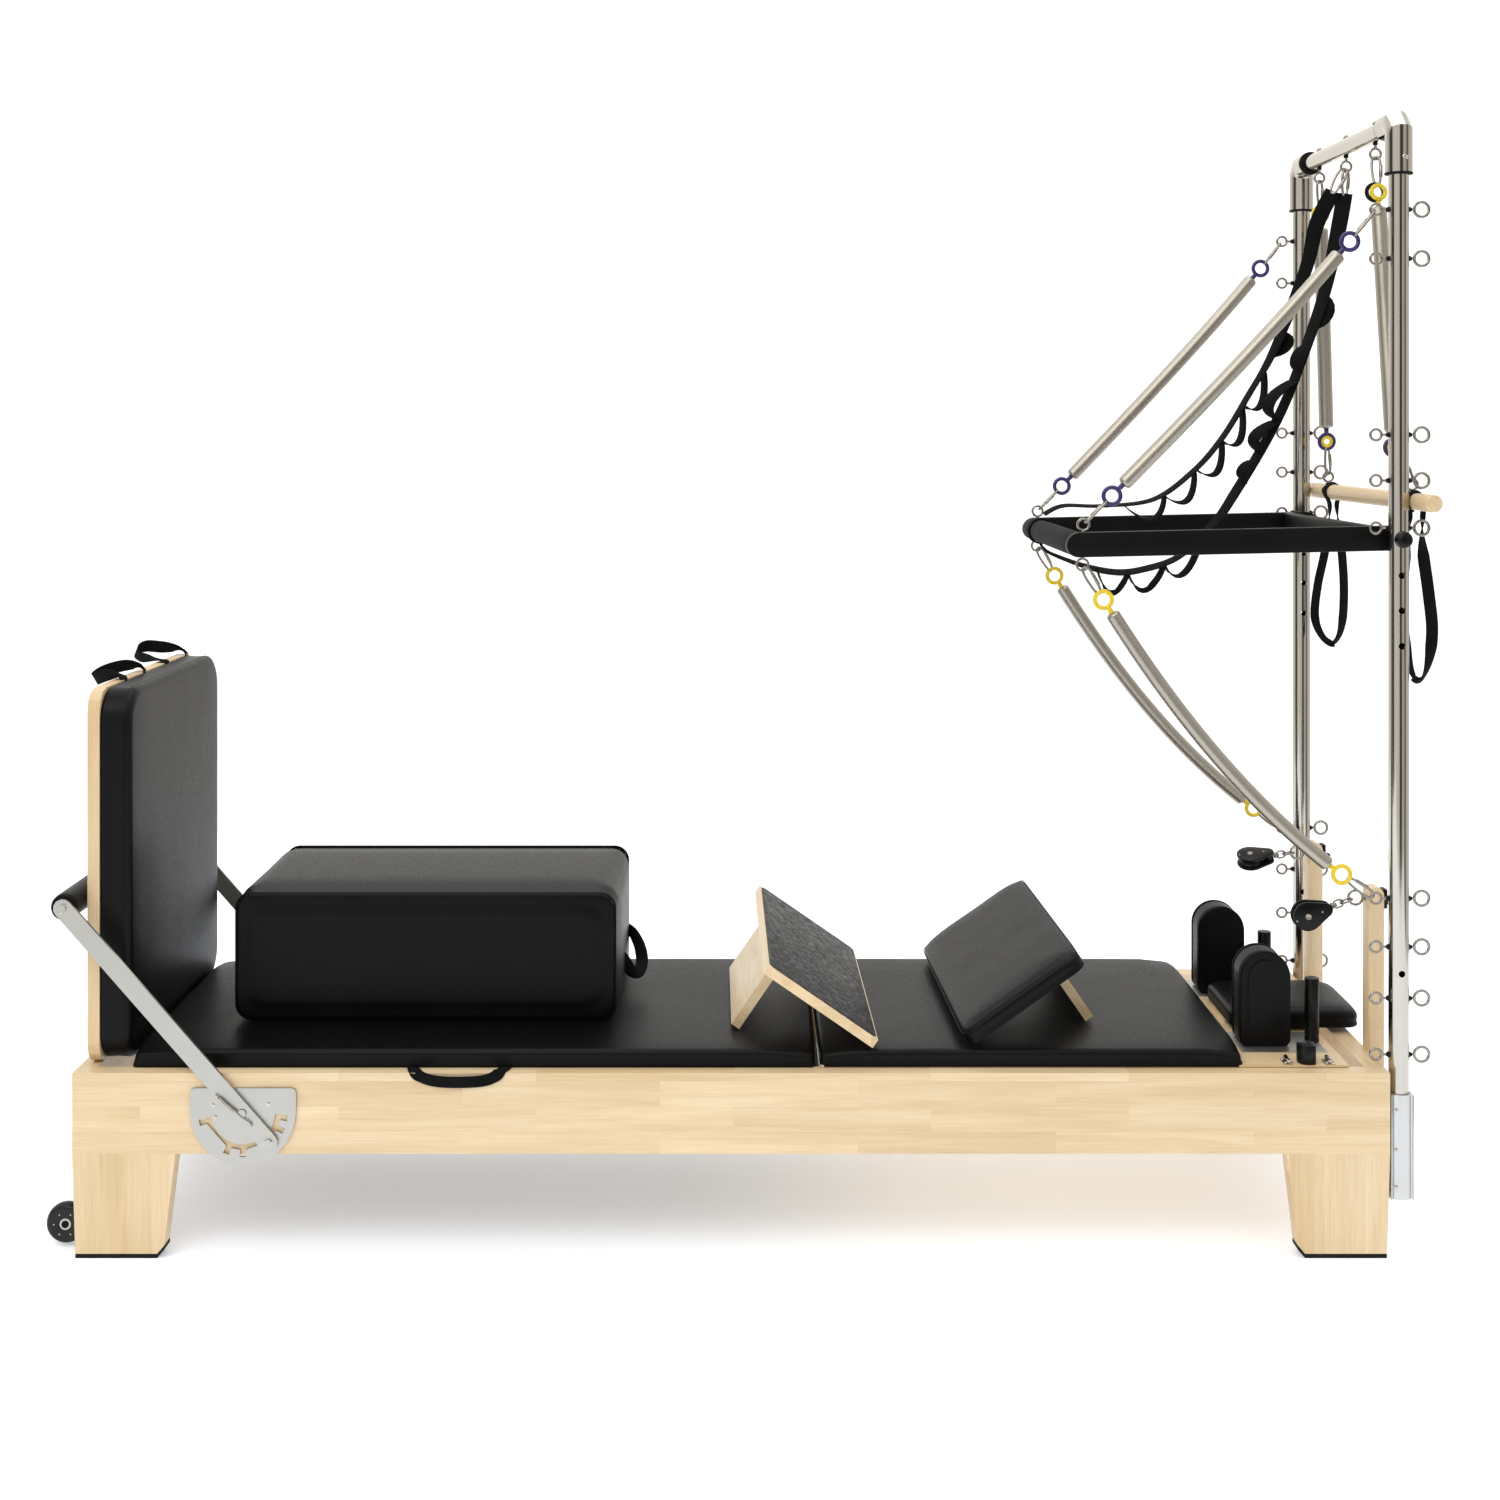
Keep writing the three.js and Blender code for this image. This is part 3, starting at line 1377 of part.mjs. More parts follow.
// The origin is under the middle of the whole unit, on the floor
const extent = new THREE.Box3().setFromObject(assembly, true);
const middle = extent.getCenter(new THREE.Vector3());
assembly.position.set(-middle.x, -middle.y, -extent.min.z);
assembly.updateMatrixWorld(true);

export default assembly;
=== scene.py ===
"""Looks of the pilates tower unit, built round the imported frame.

Shapes are drawn in millimetres: X from the frame's foot end, Y from the centre plane
(the near side is negative), Z from the floor. Shape.piece() turns them into metres.
"""
import json
import math

import bmesh
import bpy
from mathutils import Matrix, Vector, noise

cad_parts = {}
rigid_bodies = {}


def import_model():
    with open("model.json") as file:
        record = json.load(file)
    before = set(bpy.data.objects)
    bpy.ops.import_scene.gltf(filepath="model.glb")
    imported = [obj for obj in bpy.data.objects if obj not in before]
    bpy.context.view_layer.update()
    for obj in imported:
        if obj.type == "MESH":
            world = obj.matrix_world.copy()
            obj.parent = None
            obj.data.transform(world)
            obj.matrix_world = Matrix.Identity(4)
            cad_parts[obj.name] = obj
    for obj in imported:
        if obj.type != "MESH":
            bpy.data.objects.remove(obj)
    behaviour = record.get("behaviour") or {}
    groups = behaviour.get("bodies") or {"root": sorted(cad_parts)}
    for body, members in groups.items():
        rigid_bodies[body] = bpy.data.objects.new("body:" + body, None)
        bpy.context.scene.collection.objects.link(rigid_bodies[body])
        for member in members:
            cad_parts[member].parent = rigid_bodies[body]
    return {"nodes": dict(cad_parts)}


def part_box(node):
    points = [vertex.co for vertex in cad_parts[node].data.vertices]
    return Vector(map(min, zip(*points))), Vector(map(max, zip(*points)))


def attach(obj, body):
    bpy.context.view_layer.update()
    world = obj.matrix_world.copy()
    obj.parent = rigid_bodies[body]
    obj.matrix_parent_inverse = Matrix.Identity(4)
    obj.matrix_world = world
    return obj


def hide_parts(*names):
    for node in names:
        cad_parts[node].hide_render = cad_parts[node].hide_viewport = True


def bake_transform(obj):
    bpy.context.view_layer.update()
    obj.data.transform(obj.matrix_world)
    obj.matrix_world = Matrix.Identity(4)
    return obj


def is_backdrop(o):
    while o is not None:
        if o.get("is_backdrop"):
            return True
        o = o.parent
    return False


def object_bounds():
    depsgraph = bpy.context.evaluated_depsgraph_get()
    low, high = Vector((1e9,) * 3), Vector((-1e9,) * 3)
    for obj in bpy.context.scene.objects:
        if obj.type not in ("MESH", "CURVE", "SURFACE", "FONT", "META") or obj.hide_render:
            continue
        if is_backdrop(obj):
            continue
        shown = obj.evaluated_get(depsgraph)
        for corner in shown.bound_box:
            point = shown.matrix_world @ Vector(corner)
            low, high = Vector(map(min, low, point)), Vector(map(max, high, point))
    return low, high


for thing in list(bpy.data.objects):
    bpy.data.objects.remove(thing)
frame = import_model()
cad_low, cad_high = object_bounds()
MM = 0.001
FOOT_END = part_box("side_frame_near")[0].x
SIDES = (("near", -1), ("far", 1))
X, Y, Z = Vector((1, 0, 0)), Vector((0, 1, 0)), Vector((0, 0, 1))


def millimetres(place):
    """A place in metres, in the frame's axes, as a point for drawing."""
    return Vector(((place.x - FOOT_END) / MM, place.y / MM, place.z / MM))


def metres(point):
    return Vector((FOOT_END + point.x * MM, point.y * MM, point.z * MM))


def node_box(node):
    """A CAD node's lowest and highest corners."""
    return [millimetres(corner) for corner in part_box(node)]


def node_space(node):
    """A CAD node's lowest corner, highest corner, size and middle."""
    low, high = node_box(node)
    return low, high, high - low, (low + high) / 2


# Places and sizes of the frame and the tower. The CAD nodes give the ends that the looks must meet
RAIL_FACE = node_box("side_frame_near")[0].y
FRAME_LENGTH, _, FRAME_TOP = node_box("side_frame_near")[1]
UPRIGHT_RADIUS = 18.2
ELBOW_RADIUS = 24.5
UPRIGHT_X = node_box("elbow_near")[1].x - ELBOW_RADIUS
UPRIGHT_Y = 305
UPRIGHT_BOTTOM, UPRIGHT_TOP = [corner.z for corner in node_box("upright_near")]
UPRIGHT_WALL = 2
CROSSBAR_Z = 2071
CROSSBAR_RADIUS = 17
CROSSBAR_EYE_Z = 2032
CROSSBAR_EYE_Y = 176
EYE_REACH = 42
# Eyebolts: radius of the ring's centre line and of its wire
SMALL_EYE = (10.2, 2.5)
LARGE_EYE = (13.6, 2.7)
RISER_EYE_SIZE = (13.4, 2.5)
RISER_Y = 190.5
RISER_WIDTH = 37
RISER_THICKNESS = 30
RISER_EYE = Vector((2381.3, -RISER_Y, 622))
PUSH_PIVOT_Z = 1308
PUSH_REACH = 582
PUSH_DROOP = math.radians(1.25)
PUSH_ARM_Y = UPRIGHT_Y - UPRIGHT_RADIUS - 11.5
PUSH_ARM_THICKNESS = 20
PUSH_ARM_HALF_HEIGHT = 23
PUSH_EYE_PLACE = 574
PUSH_EYE_REACH = 37
DOWEL_RADIUS = 16
DOWEL_HALF_LENGTH = node_box("roll_down_bar")[1].y
ROLL_X = node_box("roll_down_bar")[1].x - DOWEL_RADIUS
ROLL_Z = 1376
ROLL_EYE_LIFT = 31
ROLL_EYE_Y = {"near": -276, "far": 228}
HANGING_LEAN = {"near": Vector((-0.41, 0.14, 0.9)), "far": Vector((-0.07, -0.08, 0.99))}
FOOTBAR_PIVOT = Vector((312.5, 0, 268))
FOOTBAR_LEAN = math.radians(131.3)

# Edges that bend more than this many degrees stay sharp
SHARP_ANGLE = 38

# Heads of screws, rivets and nuts: distance out of the surface and radius
FLAT_SCREW = [(0, 4), (0.5, 4), (0.9, 2.8), (1.0, 1)]
BRACKET_SCREW = [(0, 3.4), (1.6, 3.4), (2.6, 2.4), (3, 0.8)]
ELBOW_SCREW = [(0, 3.4), (1.0, 3.4), (2.0, 2.4), (2.4, 0.8)]
END_SCREW = [(0, 7), (2, 7), (3.6, 5), (4.2, 2)]
END_RIVET = [(0, 4), (1.4, 4), (2.8, 2.6), (3.2, 1)]
SIDE_RIVET = [(0, 3.4), (1.0, 3.4), (2.0, 2.2), (2.3, 0.8)]
PULLEY_RIVET = [(0, 2), (0.7, 2), (1.2, 1)]
DOME_NUT = [(0, 6), (3, 6), (4, 4.6), (6, 4.2), (7.4, 2.6), (8, 0.8)]


# Shapes
class Shape:
    """Closed meshes gathered into one piece, in millimetres."""

    def __init__(self):
        self.verts = []
        self.faces = []

    def add(self, verts, faces):
        first = len(self.verts)
        self.verts.extend(Vector(v) for v in verts)
        self.faces.extend([first + i for i in face] for face in faces)
        return self

    def rings(self, rings, loops=False):
        """Rings of points joined one to the next, with a face at each end or closed on itself."""
        width = len(rings[0])
        verts = [p for ring in rings for p in ring]
        faces = []
        links = len(rings) if loops else len(rings) - 1
        for i in range(links):
            here, there = i * width, (i + 1) % len(rings) * width
            for j in range(width):
                k = (j + 1) % width
                faces.append((here + j, here + k, there + k, there + j))
        if not loops:
            faces.append(tuple(reversed(range(width))))
            faces.append(tuple((len(rings) - 1) * width + j for j in range(width)))
        return self.add(verts, faces)

    def sweep(self, points, section, across, loops=False):
        """A section (a list of pairs) carried along points. across is one vector or one for each point."""
        rings = []
        last = len(points) - 1
        carried = across if isinstance(across, Vector) else across[0]
        for i, point in enumerate(points):
            before = points[i - 1] if i or loops else points[0]
            after = points[(i + 1) % len(points)] if i < last or loops else points[last]
            tangent = (after - before).normalized()
            if not isinstance(across, Vector):
                carried = across[i]
            side = (carried - tangent * carried.dot(tangent)).normalized()
            carried = side
            up = tangent.cross(side)
            rings.append([point + side * a + up * b for a, b in section])
        return self.rings(rings, loops)

    def wire(self, points, radius, sides, across, loops=False):
        section = [(radius * math.cos(a), radius * math.sin(a)) for a in turns(sides)]
        return self.sweep(points, section, across, loops)

    def lathe(self, base, axis, profile, steps, hollow=False):
        """Rings round an axis: profile is pairs of distance along it and radius."""
        axis = axis.normalized()
        side, up = square_to(axis, X, Y)
        rings = [circle(base + axis * along, side, up, radius, steps) for along, radius in profile]
        return self.rings(rings, hollow)

    def tube(self, base, axis, profile, steps):
        """A lathed wall: the profile closes on itself and leaves a bore."""
        return self.lathe(base, axis, profile, steps, hollow=True)

    def rod(self, start, end, radius, steps, edge):
        length = (end - start).length
        edge = min(edge, radius / 2, length / 3)
        profile = [(along, radius - inset) for along, inset in soft_rims(length, edge)]
        return self.lathe(start, end - start, profile, steps)

    def ring(self, centre, axis, radius, wire, steps=28, sides=10):
        side, up = square_to(axis, Y, X)
        return self.wire(circle(centre, side, up, radius, steps), wire, sides, axis, loops=True)

    def eyebolt(self, eye, foot, size, shank, bite=0.5):
        """A ring round Y, with a shank that bites into its wire and ends at foot."""
        radius, wire = size
        self.ring(eye, Y, radius, wire)
        way = (foot - eye).normalized()
        return self.rod(eye + way * (radius - bite), foot, shank, 14, 0.5)

    def box(self, low, high, edge=1.0):
        """A block with softened edges."""
        middle, size = (low + high) / 2, high - low
        rings = []
        for lift, inset in soft_rims(size.z, edge):
            ring = rounded_rectangle(size.x - 2 * inset, size.y - 2 * inset, edge * 1.2, 3)
            rings.append([Vector((middle.x + x, middle.y + y, low.z + lift)) for x, y in ring])
        return self.rings(rings)

    def plate(self, outline, place, thickness, edge):
        """A flat convex plate: place turns a pair and a height into a point."""
        area = sum(a[0] * b[1] - b[0] * a[1] for a, b in zip(outline, outline[1:] + outline[:1]))
        points = outline if area > 0 else outline[::-1]
        return self.rings([[place(x, y, lift) for x, y in inset_outline(points, inset)]
                           for lift, inset in soft_rims(thickness, edge)])

    def join(self, other):
        return self.add(other.verts, other.faces)

    def move(self, change):
        self.verts = [change(v) for v in self.verts]
        return self

    def mirrored(self):
        """The same shape on the other side of the centre plane."""
        copy = Shape()
        copy.verts = [Vector((v.x, -v.y, v.z)) for v in self.verts]
        copy.faces = [face[::-1] for face in self.faces]
        return copy

    def on_side(self, sign):
        return self if sign < 0 else self.mirrored()

    def piece(self, name, body, slot, replaces=(), sharp=SHARP_ANGLE, material=None):
        """The finished object, riding on its body and standing for the CAD nodes it replaces."""
        mesh = bpy.data.meshes.new(name)
        mesh.from_pydata([metres(v) for v in self.verts], [], self.faces)
        turn_outwards(mesh)
        mesh.shade_smooth()
        mesh.set_sharp_from_angle(angle=math.radians(sharp))
        mesh.materials.append(material or MATERIALS[slot])
        thing = bpy.data.objects.new(name, mesh)
        bpy.context.scene.collection.objects.link(thing)
        if body:
            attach(thing, body)
        if replaces:
            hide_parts(*replaces)
        return thing


def turn_outwards(mesh):
    """Every closed part's faces point out."""
    work = bmesh.new()
    work.from_mesh(mesh)
    bmesh.ops.recalc_face_normals(work, faces=work.faces)
    work.to_mesh(mesh)
    work.free()


def turns(steps):
    return [2 * math.pi * i / steps for i in range(steps)]


def square_to(axis, first, second):
    """Two directions square to a unit axis: one close to first, or to second if the axis lies along first."""
    side = first if abs(axis.dot(first)) < 0.9 else second
    side = (side - axis * side.dot(axis)).normalized()
    return side, axis.cross(side)


def circle(centre, side, up, radius, steps):
    return [centre + (side * math.cos(a) + up * math.sin(a)) * radius for a in turns(steps)]


def soft_rims(thickness, edge):
    """Distance through a slab and inset of its outline, with a softened rim at both faces."""
    rim = [(0, edge), (edge * 0.3, edge * 0.3), (edge, 0)]
    return rim + [(thickness - along, inset) for along, inset in reversed(rim)]


def arc(cx, cy, radius, start, end, steps):
    return [(cx + radius * math.cos(math.radians(start + (end - start) * i / steps)),
             cy + radius * math.sin(math.radians(start + (end - start) * i / steps)))
            for i in range(steps + 1)]


def rounded_rectangle(length, width, corner, steps, along=0):
    """Corner arcs with extra points along the straight sides."""
    corner = max(0.05, min(corner, length / 2 - 0.05, width / 2 - 0.05))
    x, y = length / 2 - corner, width / 2 - corner
    arcs = [arc(x, y, corner, 0, 90, steps), arc(-x, y, corner, 90, 180, steps),
            arc(-x, -y, corner, 180, 270, steps), arc(x, -y, corner, 270, 360, steps)]
    points = []
    for i, corner_points in enumerate(arcs):
        points += corner_points
        a, b = corner_points[-1], arcs[(i + 1) % 4][0]
        for j in range(1, along + 1):
            share = j / (along + 1)
            points.append((a[0] + (b[0] - a[0]) * share, a[1] + (b[1] - a[1]) * share))
    return points


def inset_outline(points, inset):
    """Moves each corner of a counterclockwise outline inwards."""
    if not inset:
        return points
    moved = []
    count = len(points)
    for i, (x, y) in enumerate(points):
        ax, ay = points[i - 1]
        bx, by = points[(i + 1) % count]
        tx, ty = bx - ax, by - ay
        size = math.hypot(tx, ty) or 1
        moved.append((x - ty / size * inset, y + tx / size * inset))
    return moved


def smooth_line(points, per_span):
    """Catmull-Rom points through a route."""
    line = []
    count = len(points)
    for i in range(count - 1):
        a = points[max(i - 1, 0)]
        b, c = points[i], points[i + 1]
        d = points[min(i + 2, count - 1)]
        for j in range(per_span):
            t = j / per_span
            line.append(((b * 2) + (c - a) * t + (a * 2 - b * 5 + c * 4 - d) * t * t
                         + (b * 3 - a - c * 3 + d) * t ** 3) * 0.5)
    line.append(points[-1].copy())
    return line


def evenly(points, count):
    """The same line with its points the same distance apart."""
    lengths = [0.0]
    for a, b in zip(points, points[1:]):
        lengths.append(lengths[-1] + (b - a).length)
    spaced, j = [], 0
    for i in range(count + 1):
        wanted = lengths[-1] * i / count
        while j < len(points) - 2 and lengths[j + 1] < wanted:
            j += 1
        span = lengths[j + 1] - lengths[j]
        share = min(1.0, max(0.0, (wanted - lengths[j]) / span)) if span else 0
        spaced.append(points[j].lerp(points[j + 1], share))
    return spaced, lengths[-1]


# Materials
class Graph:
    """A material's node tree, with short calls to add and join nodes."""

    def __init__(self, name, colour, roughness, metallic=0.0, specular=0.5):
        self.material = bpy.data.materials.new(name)
        self.material.use_nodes = True
        self.tree = self.material.node_tree
        self.shader = self.tree.nodes["Principled BSDF"]
        self.shader.inputs["Base Color"].default_value = (*colour, 1)
        self.shader.inputs["Roughness"].default_value = roughness
        self.shader.inputs["Metallic"].default_value = metallic
        self.shader.inputs["Specular IOR Level"].default_value = specular

    def node(self, kind, links=(), **values):
        made = self.tree.nodes.new("ShaderNode" + kind)
        for key, value in values.items():
            if hasattr(made, key):
                setattr(made, key, value)
            else:
                made.inputs[key.replace("_", " ")].default_value = value
        for socket, source in dict(links).items():
            self.tree.links.new(source, made.inputs[socket])
        return made

    def place(self, scale=(1, 1, 1), order="XYZ"):
        """Object coordinates in metres, put in another order and scaled."""
        source = self.node("TexCoord").outputs["Object"]
        if order != "XYZ":
            split = self.node("SeparateXYZ", {0: source})
            joined = self.node("CombineXYZ", {i: split.outputs["XYZ".index(letter)]
                                              for i, letter in enumerate(order)})
            source = joined.outputs[0]
        return self.node("Mapping", {"Vector": source}, Scale=scale).outputs[0]

    def noise(self, vector, scale, detail=4.0, roughness=0.55, distortion=0.0):
        return self.node("TexNoise", {"Vector": vector}, Scale=scale, Detail=detail,
                         Roughness=roughness, Distortion=distortion).outputs["Fac"]

    def ramp(self, factor, stops):
        made = self.node("ValToRGB", {"Fac": factor})
        ramp = made.color_ramp
        while len(ramp.elements) < len(stops):
            ramp.elements.new(0.5)
        for element, (place, colour) in zip(ramp.elements, stops):
            element.position = place
            element.color = (*colour, 1) if len(colour) == 3 else colour
        return made.outputs["Color"]

    def feed(self, socket, value):
        """Joins a socket to another node's output, or sets it to a number."""
        if isinstance(value, (int, float)):
            socket.default_value = value
        else:
            self.tree.links.new(value, socket)

    def math(self, operation, a, b):
        made = self.node("Math", operation=operation)
        self.feed(made.inputs[0], a)
        self.feed(made.inputs[1], b)
        return made.outputs[0]

    def mix(self, factor, a, b, blend="MIX"):
        made = self.node("Mix", data_type="RGBA", blend_type=blend)
        for socket, value in ((0, factor), (6, a), (7, b)):
            self.feed(made.inputs[socket], value)
        return made.outputs[2]

    def mix_vectors(self, factor, a, b):
        made = self.node("Mix", data_type="VECTOR")
        for socket, value in ((0, factor), (4, a), (5, b)):
            self.feed(made.inputs[socket], value)
        return made.outputs[1]

    def greys(self, factor, *stops):
        return self.ramp(factor, [(place, grey(value)) for place, value in stops])

    def to(self, socket, source):
        self.tree.links.new(source, self.shader.inputs[socket])

    def bump(self, height, strength, distance, below=None):
        made = self.node("Bump", {"Height": height}, Strength=strength, Distance=distance)
        if below:
            self.tree.links.new(below, made.inputs["Normal"])
        return made.outputs[0]


def grey(value):
    return (value, value, value)


def wood(name, order, block=(0.36, 0.046), legs=False):
    """Pale maple glued up from finger-jointed strips, with the grain along the first axis of order."""
    g = Graph(name, (0.8, 0.6, 0.36), 0.42, specular=0.4)
    vector = g.place(order=order)
    if legs:
        upright = g.place(order="ZXY")
        below = g.math("LESS_THAN", g.node("SeparateXYZ", {0: g.place()}).outputs[2], 0.19)
        vector = g.mix_vectors(below, vector, upright)
    brick = g.node("TexBrick", {"Vector": vector}, offset=0.37, offset_frequency=2, squash=1.0,
                   Color1=(0, 0, 0, 1), Color2=(1, 1, 1, 1), Mortar=(0.5, 0.5, 0.5, 1), Scale=1.0,
                   Mortar_Size=0.0, Bias=0.0, Brick_Width=block[0], Row_Height=block[1])
    tone = brick.outputs["Color"]
    shift = g.node("VectorMath", {0: tone}, operation="SCALE", Scale=7.0).outputs[0]
    moved = g.node("VectorMath", {0: vector, 1: shift}, operation="ADD").outputs[0]
    along = g.node("Mapping", {"Vector": moved}, Scale=(2.2, 46, 46)).outputs[0]
    fine = g.node("Mapping", {"Vector": moved}, Scale=(9, 420, 420)).outputs[0]
    broad = g.node("Mapping", {"Vector": moved}, Scale=(1.1, 13, 13)).outputs[0]
    streaks = g.noise(along, 1.0, 5, 0.6, 0.9)
    pores = g.noise(fine, 1.0, 3, 0.7)
    figure = g.noise(broad, 1.0, 3, 0.5, 1.6)
    base = g.ramp(figure, [(0.25, (0.80, 0.655, 0.44)), (0.55, (0.735, 0.575, 0.36)),
                           (0.8, (0.665, 0.495, 0.29))])
    streak = g.ramp(streaks, [(0.35, (1, 1, 1)), (0.62, (0.94, 0.9, 0.83)), (0.8, (0.85, 0.77, 0.66))])
    pore = g.ramp(pores, [(0.35, (0.93, 0.9, 0.86)), (0.6, (1, 1, 1))])
    block_tint = g.ramp(tone, [(0.0, (0.95, 0.915, 0.86)), (0.5, (1, 1, 1)), (1.0, (1.05, 1.04, 1.03))])
    grained = g.mix(1.0, g.mix(0.8, base, streak, "MULTIPLY"), pore, "MULTIPLY")
    colour = g.mix(1.0, grained, block_tint, "MULTIPLY")
    g.to("Base Color", colour)
    g.to("Roughness", g.greys(streaks, (0.3, 0.36), (0.8, 0.5)))
    g.to("Normal", g.bump(pores, 0.12, 0.0004, g.bump(streaks, 0.06, 0.001)))
    g.shader.inputs["Coat Weight"].default_value = 0.25
    g.shader.inputs["Coat Roughness"].default_value = 0.25
    return g.material


def vinyl():
    """Black upholstery vinyl: a fine pebbled grain over soft unevenness."""
    tone, rough = 0.003, 0.4
    g = Graph("vinyl", grey(tone), rough, specular=0.13)
    vector = g.place()
    pebbles = g.node("TexVoronoi", {"Vector": vector}, Scale=720.0, feature="SMOOTH_F1",
                     Smoothness=0.6).outputs[0]
    creases = g.noise(vector, 260, 5, 0.6)
    slack = g.noise(vector, 9, 2, 0.4)
    worn = g.noise(vector, 4, 3, 0.5)
    g.to("Base Color", g.greys(worn, (0.3, tone * 0.85), (0.7, tone * 1.25)))
    g.to("Roughness", g.greys(creases, (0.35, rough - 0.05), (0.7, rough + 0.07)))
    g.to("Normal", g.bump(pebbles, 0.25, 0.0002, g.bump(creases, 0.12, 0.0004, g.bump(slack, 0.25, 0.002))))
    return g.material


def plain_black(name, tone, rough, grain, strength, specular):
    g = Graph(name, grey(tone), rough, specular=specular)
    vector = g.place()
    fine = g.noise(vector, grain, 4, 0.6)
    broad = g.noise(vector, 14, 3, 0.5)
    g.to("Base Color", g.greys(broad, (0.3, tone * 0.8), (0.75, tone * 1.4)))
    g.to("Roughness", g.greys(fine, (0.3, rough - 0.06), (0.7, rough + 0.08)))
    g.to("Normal", g.bump(fine, strength, 0.0004))
    return g.material


def metal(name, colour, rough, stretch, spread, strength, scale=260):
    """Steel or chrome with fine lines along its drawing or brushing direction."""
    g = Graph(name, colour, rough, metallic=1.0)
    vector = g.place(scale=stretch)
    lines = g.noise(vector, scale, 4, 0.65)
    smears = g.noise(g.place(), 11, 3, 0.5)
    g.to("Base Color", g.mix(0.5, g.ramp(lines, [(0.3, tuple(c * 0.9 for c in colour)), (0.7, colour)]),
                             g.ramp(smears, [(0.35, tuple(c * 0.93 for c in colour)), (0.65, colour)])))
    g.to("Roughness", g.ramp(lines, [(0.3, grey(max(0.02, rough - spread))), (0.7, grey(rough + spread))]))
    g.to("Normal", g.bump(lines, strength, 0.0003))
    return g.material


def web():
    """Woven black webbing: ribs across and threads along."""
    g = Graph("webbing", grey(0.004), 0.78, specular=0.08)
    vector = g.place()
    ribs = g.node("TexWave", {"Vector": vector}, Scale=420.0, Distortion=0.6,
                  bands_direction="DIAGONAL").outputs["Fac"]
    threads = g.noise(vector, 900, 3, 0.7)
    broad = g.noise(vector, 30, 3, 0.5)
    fading = g.math("ADD", g.math("MULTIPLY", threads, 0.6), g.math("MULTIPLY", broad, 0.4))
    g.to("Base Color", g.greys(fading, (0.3, 0.0025), (0.75, 0.008)))
    g.to("Roughness", g.greys(threads, (0.3, 0.7), (0.7, 0.88)))
    g.to("Normal", g.bump(ribs, 0.5, 0.0005, g.bump(threads, 0.4, 0.0004)))
    return g.material


def grit():
    """Pebbled non-slip sheet: raised dots, worn paler and smoother in patches."""
    g = Graph("grit_cover", grey(0.02), 0.6, specular=0.35)
    vector = g.place()
    dots = g.node("TexVoronoi", {"Vector": vector}, Scale=330.0).outputs["Distance"]
    patches = g.noise(vector, 75, 5, 0.65)
    worn = g.greys(patches, (0.42, 0.011), (0.56, 0.02), (0.7, 0.052))
    g.to("Base Color", worn)
    g.to("Roughness", g.greys(patches, (0.35, 0.72), (0.65, 0.42)))
    g.to("Normal", g.bump(dots, 0.7, 0.0008, g.bump(patches, 0.6, 0.0012)))
    return g.material


def dipped(name, colour):
    """Plastic-dipped ring: glossy, with slight unevenness."""
    rough = 0.3
    g = Graph(name, colour, rough, specular=0.5)
    vector = g.place()
    uneven = g.noise(vector, 120, 3, 0.5)
    darker = tuple(c * 0.82 for c in colour)
    g.to("Base Color", g.ramp(uneven, [(0.3, darker), (0.7, colour)]))
    g.to("Roughness", g.greys(uneven, (0.3, rough - 0.06), (0.7, rough + 0.1)))
    g.to("Normal", g.bump(uneven, 0.15, 0.0006))
    return g.material


WOOD_X = wood("maple", "XZY")
WOOD_FRAME = wood("maple_frame", "XZY", legs=True)
WOOD_Y = wood("maple_across", "YZX", block=(0.3, 0.05))
WOOD_Z = wood("maple_upright", "ZXY", block=(0.6, 0.04))
WOOD_PANEL = wood("maple_panel", "ZYX", block=(3.0, 0.6))
WOOD_DOWEL = wood("maple_dowel", "YZX", block=(3.0, 0.6))
MATERIALS = {
    "maple": WOOD_X,
    "vinyl": vinyl(),
    "rubber": plain_black("rubber", 0.006, 0.75, 420, 0.3, 0.2),
    "wheel_tyre": plain_black("wheel_tyre", 0.006, 0.32, 300, 0.08, 0.3),
    "black_plastic": plain_black("black_plastic", 0.003, 0.3, 500, 0.08, 0.2),
    "black_metal": plain_black("black_metal", 0.004, 0.42, 700, 0.15, 0.12),
    "grip_foam": plain_black("grip_foam", 0.012, 0.8, 650, 0.6, 0.15),
    "webbing": web(),
    "thread": plain_black("thread", 0.004, 0.5, 900, 0.3, 0.15),
    "grit_cover": grit(),
    "chrome": metal("chrome", (0.52, 0.49, 0.44), 0.1, (1, 1, 0.03), 0.04, 0.006),
    "brushed_steel": metal("brushed_steel", (0.5, 0.487, 0.45), 0.42, (0.06, 1, 1), 0.09, 0.08, 600),
    "spring_steel": metal("spring_steel", (0.43, 0.395, 0.335), 0.4, (1, 1, 1), 0.05, 0.004, 400),
    "aluminium": metal("aluminium", (0.62, 0.62, 0.61), 0.4, (1, 1, 0.05), 0.06, 0.04, 500),
    "ring_purple": dipped("ring_purple", (0.035, 0.02, 0.13)),
    "ring_yellow": dipped("ring_yellow", (0.86, 0.62, 0.02)),
}

NICKEL = metal("nickel", (0.34, 0.315, 0.275), 0.22, (1, 1, 1), 0.06, 0.03)


def dress(node, slot, material=None, *, bevel, segments=2):
    """A CAD node that keeps its own mesh gets its material and soft edges."""
    thing = frame["nodes"][node]
    for place in thing.material_slots:
        place.material = material or MATERIALS[slot]
    soft = thing.modifiers.new("edges", "BEVEL")
    soft.width = bevel * MM
    soft.segments = segments
    soft.limit_method = "ANGLE"
    soft.angle_limit = math.radians(35)
    soft.harden_normals = False


# Cushions
def scaled_ring(outline, half_length, half_width, inset):
    """An outline drawn in towards its middle."""
    return [(x * (1 - inset / half_length), y * (1 - inset / half_width)) for x, y in outline]


